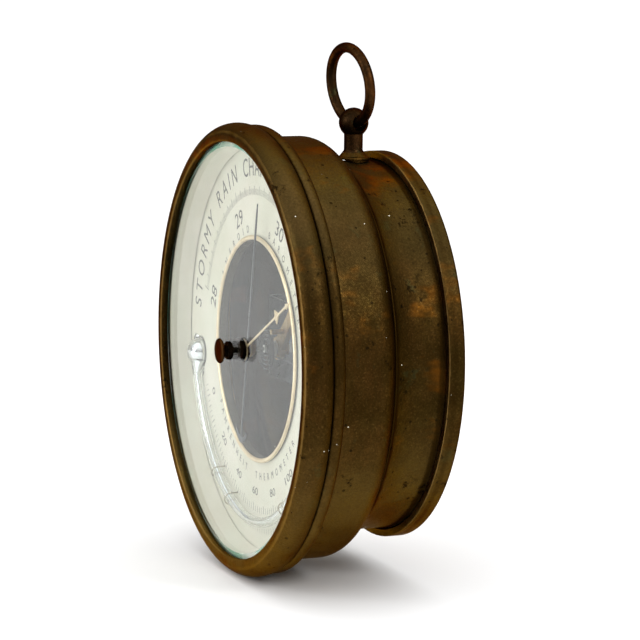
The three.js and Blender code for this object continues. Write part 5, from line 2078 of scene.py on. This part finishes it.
@dataclass
class Movement:
    """What the open dial shows: plate, capsule, spring, lever, rocker, chain and cocks."""

    finishes: Finishes
    capsule: float = 30.0
    capsule_front: float = 38.7
    capsule_back: float = 44.5
    front_boss: float = 37.6
    bridge_x: float = -13.0
    spring_front: float = 24.0
    spring_leaf: float = 0.9
    spring_opening: float = 5.7
    cock_front: float = 17.2
    cock_thick: float = 1.6
    hub_back: float = 20.5
    pillar: float = 24.0

    def build(self) -> None:
        """Makes the visible pieces and dresses the others."""
        self.make_arbor_cock()
        self.make_capsule()
        self.make_spring()
        self.make_bridge()
        self.make_lever()
        self.make_chain()
        self.make_screws()
        redress(self.finishes.yellow_brass, "base_plate", "capsule_nut", "arbor_pillar")
        redress(self.finishes.yellow_brass, "rocker_cock_upper", "rocker_cock_lower")
        redress(self.finishes.steel, "capsule_post", "knife_edge", "lever_link", "rocker_arbor")
        redress(self.finishes.nickel_silver, "capsule_back")
        redress(self.finishes.steel, "bridge_screw", "plate_screw_1", "plate_screw_2", "plate_screw_3")

    def make_arbor_cock(self) -> None:
        """The cock over the middle, tapered from its pad to the hub of the arbor's bearing."""
        back = self.cock_front + self.cock_thick
        at = self.pillar
        across = math.sqrt(0.5)
        sides = [(0.05, 2.5), (0.3, 2.0), (0.6, 2.1), (0.9, 2.9)]
        sides += [(share, -half) for share, half in reversed(sides)]
        outline = [(at * share - across * half, at * share + across * half) for share, half in sides]
        cock = Bench.plate("middle_cock", outline, self.cock_front, back)
        pad = Bench.pin("pad", at, at, 4.0, self.cock_front, back, 48)
        eye = Bench.pin("eye", 0, 0, 3.4, self.cock_front, back, 48)
        hub = Bench.pin("hub", 0, 0, 2.2, self.cock_front, self.hub_back, 40)
        Bench.joined(cock, pad, eye, hub)
        start = self.cock_front - BORE_PAST
        Bench.bored(cock, Bench.pin("bore", 0, 0, 0.9, start, self.hub_back + BORE_PAST, 24))
        Bench.bored(cock, Bench.pin("bore", at, at, 1.2, start, back + BORE_PAST, 24))
        Bench.filed(cock, 0.22)
        fit(cock, "case", self.finishes.yellow_brass, ("arbor_cock",), smooth=30.0)

    def make_capsule(self) -> None:
        """The front diaphragm with its pressed rings."""
        rim, front = self.capsule, self.capsule_front
        points = []
        for i in range(64):
            radius = 5 + (rim - 2.0 - 5) * i / 63
            ripple = 0.35 + 0.35 * math.cos(2 * math.pi * (radius - 5) / 5)
            points.append((radius, front + ripple))
        face = points + [(rim - 1, front + 0.5), (rim - 0.25, front + 0.8)]
        face += [(rim, front + 1.6), (rim, (front + self.capsule_back) / 2 - 0.15)]
        inner = [(r, d + 0.5) for r, d in reversed(points)]
        outline = [(0, self.front_boss), (4, self.front_boss), (4, front + 0.1)] + face
        outline += [(rim - 0.5, face[-1][1]), (rim - 0.5, front + 1.8), (rim - 1.3, front + 1.0)]
        outline += inner + [(0, front + 0.6)]
        capsule = Bench.turned("diaphragm_front", outline, 96)
        fit(capsule, None, self.finishes.nickel_silver, ("capsule_front",))
        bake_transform(capsule)

    def make_spring(self) -> None:
        """The C-shaped main spring, bent over its left end."""
        low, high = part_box("main_spring")
        half_z = (high.z - low.z) / 2 / MM
        leaf = self.spring_leaf
        front, back = self.spring_front, self.spring_front + 2 * leaf + self.spring_opening
        middle = (front + back) / 2
        outer = (back - front) / 2
        inner = outer - leaf
        tip, bend, root = 8.0, -24.0, -6.0
        turns = [math.pi * i / 16 for i in range(1, 16)]
        path = [(tip, front), (bend, front)]
        path += [(bend - outer * math.sin(t), middle - outer * math.cos(t)) for t in turns]
        path += [(bend, back), (root, back), (root, back - leaf), (bend, back - leaf)]
        path += [(bend - inner * math.sin(t), middle + inner * math.cos(t)) for t in turns]
        path += [(bend, front + leaf), (tip, front + leaf)]
        corners = [place(x, d, -half_z) for x, d in path]
        spring = Bench.pushed("c_spring", corners, Vector((0, 0, 2 * half_z * MM)))
        tools = [Bench.pin("bore", 0, 0, 1.9, front - 1, front + 1.9, 32)]
        tools += [Bench.pin("bore", 5.5, z, 0.8, front - 1, front + 1.9, 20) for z in (-1.7, 1.7)]
        tools += [Bench.pin("bore", self.bridge_x, z, 1.2, back - 1.9, back + 1, 20) for z in (-8, 8)]
        Bench.bored(spring, *tools)
        Bench.filed(spring, 0.12)
        fit(spring, None, self.finishes.blued_steel, ("main_spring",), smooth=25.0)
        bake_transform(spring)

    def make_bridge(self) -> None:
        """The cast bridge that straddles the capsule."""
        low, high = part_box("spring_bridge")
        front, foot = depth_of(low.y), depth_of(high.y)
        left, right = low.x / MM, high.x / MM
        span = high.z / MM
        outline = [(front, -span), (front, span), (foot, span), (foot, span - 6.5), (front + 4.5, span - 6.5)]
        outline += [(front + 4.5, -span + 6.5), (foot, -span + 6.5), (foot, -span)]
        corners = [place(left, d, z) for d, z in outline]
        bridge = Bench.pushed("cast_bridge", corners, Vector(((right - left) * MM, 0, 0)))
        Bench.filed(bridge, 0.7, 3)
        tools = [Bench.pin("bore", self.bridge_x, 36.25, 1.8, 39.2, 49, 24)]
        tools += [Bench.pin("bore", self.bridge_x, -36.25, 1.5, 39.2, 49, 24)]
        tools += [Bench.pin("bore", self.bridge_x, z, 1.2, front - 1, front + 3, 20) for z in (-8, 8)]
        Bench.bored(bridge, *tools)
        fit(bridge, "case", self.finishes.cast_iron, ("spring_bridge",), smooth=40.0)

    def make_lever(self) -> None:
        """The main lever, tapered to its tip."""
        low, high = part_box("main_lever")
        front, back = depth_of(low.y), depth_of(high.y)
        root, tip = low.x / MM, high.x / MM
        half = [(root, -3), (8, -3), (12, -2.2), (tip - 2, -1.2), (tip, -0.7)]
        outline = half + [(x, -z) for x, z in reversed(half)]
        lever = Bench.plate("lever_bar", outline, front, back)
        Bench.bored(lever, *[Bench.pin("bore", 5.5, z, 0.8, front - 1, back + 1, 20) for z in (-1.7, 1.7)])
        Bench.filed(lever, 0.15)
        fit(lever, "main_lever", self.finishes.yellow_brass, ("main_lever",), smooth=30.0)

    def make_chain(self) -> None:
        """The fine chain, link by link."""
        low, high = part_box("chain")
        middle = (low + high) / 2
        radius = (high.z - low.z) / 2 / MM
        pitch = 1.0
        count = int((high.x - low.x) / MM / pitch)
        half = pitch * 0.62
        outline = arc((0, 0), radius * 0.95, half, 0, 360, 12)[:-1]
        front = depth_of(middle.y) - radius * 0.35
        link = Bench.plate("link", [(z, x) for x, z in outline], front, front + radius * 0.7)
        links = []
        for i in range(count):
            x = low.x + (i + 0.5) * pitch * MM + 0.1 * MM
            move = Matrix.Translation((x, 0, middle.z))
            if i % 2:
                move = move @ turn_about(Vector((0, middle.y, 0)), math.radians(90), "X")
            links.append(Bench.copied(link, "link", move))
        bpy.data.objects.remove(link)
        chain = Bench.gathered("fine_chain", links)
        fit(chain, "chain", self.finishes.blued_steel, ("chain",))

    def make_screws(self) -> None:
        """The slotted screws, one for each CAD screw that shows."""
        steel, brass = self.finishes.steel, self.finishes.yellow_brass
        self.screw("arbor_cock_screw", "case", steel, True)
        self.screw("adjusting_screw", "adjusting_screw", brass, False)
        for node in ("spring_screw_1", "spring_screw_2", "cock_screw_upper", "cock_screw_lower"):
            self.screw(node, "case", steel, True)
        for node in ("lever_screw_1", "lever_screw_2"):
            self.screw(node, "main_lever", steel, True)

    def screw(self, node: str, body: str, material: bpy.types.Material, head_front: bool) -> None:
        """A cheese-head screw with a slot, in the place of a CAD screw.

        Args:
            node: The CAD screw.
            body: The body that it moves with.
            material: Its metal.
            head_front: Whether its head faces the dial.
        """
        low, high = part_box(node)
        x, z = (low.x + high.x) / 2 / MM, (low.z + high.z) / 2 / MM
        head = (high.x - low.x) / 2 / MM
        front, back = depth_of(low.y), depth_of(high.y)
        top, end, sign = (front, back, 1) if head_front else (back, front, -1)
        thick = 0.55 * head if head > 1.5 else 0.75 * head
        shank = head * 0.48
        outline = [(0, top), (head * 0.8, top), (head, top + sign * 0.2 * head), (head, top + sign * thick)]
        outline += [(shank, top + sign * thick), (shank, end - sign * 0.2), (shank - 0.15, end), (0, end)]
        thing = Bench.turned(node + "_turned", outline, 40, (x, z))
        depths = sorted((top - sign * 1.0, top + sign * 0.3 * head))
        long, wide = head * 1.2, head * 0.14
        slot = [(x - long, z - wide), (x + long, z - wide), (x + long, z + wide), (x - long, z + wide)]
        Bench.bored(thing, Bench.plate("slot", slot, *depths))
        fit(thing, body, material, (node,), smooth=25.0)


# ------------------------------------------------------------------ studio


@dataclass
class Studio:
    """A pale floor, soft lamps and the camera."""

    azimuth: float = 70.39
    elevation: float = 9.06
    roll: float = 0.5
    distance: float = 880.0
    lens: float = 168.75
    aim: tuple[float, float] = (27.6, 8.95)
    horizon: float = 0.10
    zenith: float = 1.5

    def build(self) -> None:
        """Sets up the floor, the lamps and the camera."""
        self.lay_floor()
        self.hang_lamps()
        self.set_camera()

    def lay_floor(self) -> None:
        """A plain white floor under the lowest point of the object."""
        low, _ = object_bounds()
        bpy.ops.object.select_all(action="DESELECT")
        bpy.ops.mesh.primitive_plane_add(size=12.0, location=(0, 0, low[2] - 0.0002))
        floor = bpy.context.object
        floor.name = "floor"
        bpy.ops.object.transform_apply(location=True, rotation=True, scale=True)
        material, sheet, shader = new_material("floor_paper")
        tone = sheet.noise(sheet.object_place(), 300, 2, 0.5)
        sheet.feed(shader.inputs["Base Color"], sheet.mix(tone, (0.92, 0.92, 0.92), (0.95, 0.95, 0.95)))
        shader.inputs["Roughness"].default_value = 0.95
        shader.inputs["Specular IOR Level"].default_value = 0.1
        floor.data.materials.append(material)
        floor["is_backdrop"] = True

    def hang_lamps(self) -> None:
        """Two strip lamps and a top sheet, in a room that darkens towards the floor."""
        world = bpy.data.worlds.new("room")
        bpy.context.scene.world = world
        world.use_nodes = True
        back = next(n for n in world.node_tree.nodes if n.type == "BACKGROUND")
        back.inputs["Color"].default_value = (1.0, 1.0, 1.0, 1.0)
        sheet = Sheet(world.node_tree)
        rise = sheet.split(sheet.add("TexCoord").outputs["Generated"])["Z"]
        sheet.feed(back.inputs["Strength"], sheet.span(rise, 0.0, 0.9, self.horizon, self.zenith))
        for name, where, width, height, power in (
            ("front strip", (-0.10, -1.20, 0.34), 0.22, 0.80, 6.0),
            ("side strip", (1.02, 0.43, 0.66), 0.20, 0.36, 4.5),
            ("top sheet", (-0.2, 0.1, 1.3), 1.2, 1.2, 2.0),
        ):
            lamp = bpy.data.lights.new(name, "AREA")
            lamp.energy = power
            lamp.shape = "RECTANGLE"
            lamp.size = width
            lamp.size_y = height
            thing = bpy.data.objects.new(name, lamp)
            bpy.context.scene.collection.objects.link(thing)
            thing.location = where
            thing.rotation_euler = (-Vector(where)).to_track_quat("-Z", "Y").to_euler()

    def set_camera(self) -> None:
        """The camera, turned to the side and a little above the case."""
        turn, tilt = math.radians(self.azimuth), math.radians(self.elevation)
        back = Vector((math.cos(tilt) * math.sin(turn), -math.cos(tilt) * math.cos(turn), math.sin(tilt)))
        right = Vector((math.cos(turn), math.sin(turn), 0.0))
        up = back.cross(right)
        rolled = Matrix.Rotation(math.radians(self.roll), 3, back)
        right, up = rolled @ right, rolled @ up
        target = place(0, 0, 0)
        camera = bpy.data.cameras.new("camera")
        camera.lens = self.lens
        camera.sensor_width = 36.0
        camera.clip_start = 0.01
        thing = bpy.data.objects.new("camera", camera)
        bpy.context.scene.collection.objects.link(thing)
        thing.location = target + back * self.distance * MM
        aim = target + (right * self.aim[0] + up * self.aim[1]) * MM
        ahead = (aim - thing.location).normalized()
        across = ahead.cross(up).normalized()
        above = across.cross(ahead)
        thing.rotation_euler = Matrix((across, above, -ahead)).transposed().to_euler()
        bpy.context.scene.camera = thing
        bpy.context.scene.view_settings.view_transform = "Standard"


def main(cad: Sequence[Vector]) -> None:
    """Builds the barometer and the studio.

    Args:
        cad: The CAD model's box; not used.
    """
    logging.basicConfig(level=logging.INFO, format="%(name)s %(message)s")
    Studio().build()
    finishes = Finishes()
    case = Case(finishes)
    steps: tuple[Callable[[], None], ...] = (
        case.build,
        Window(finishes).build,
        Dial(finishes).build,
        Hanger(finishes, case).build,
        SetHand(finishes).build,
        PointerTrain(finishes).build,
        Thermometer(finishes).build,
        Movement(finishes).build,
    )
    for step in steps:
        step()


if __name__ == "__main__":
    main(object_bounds())
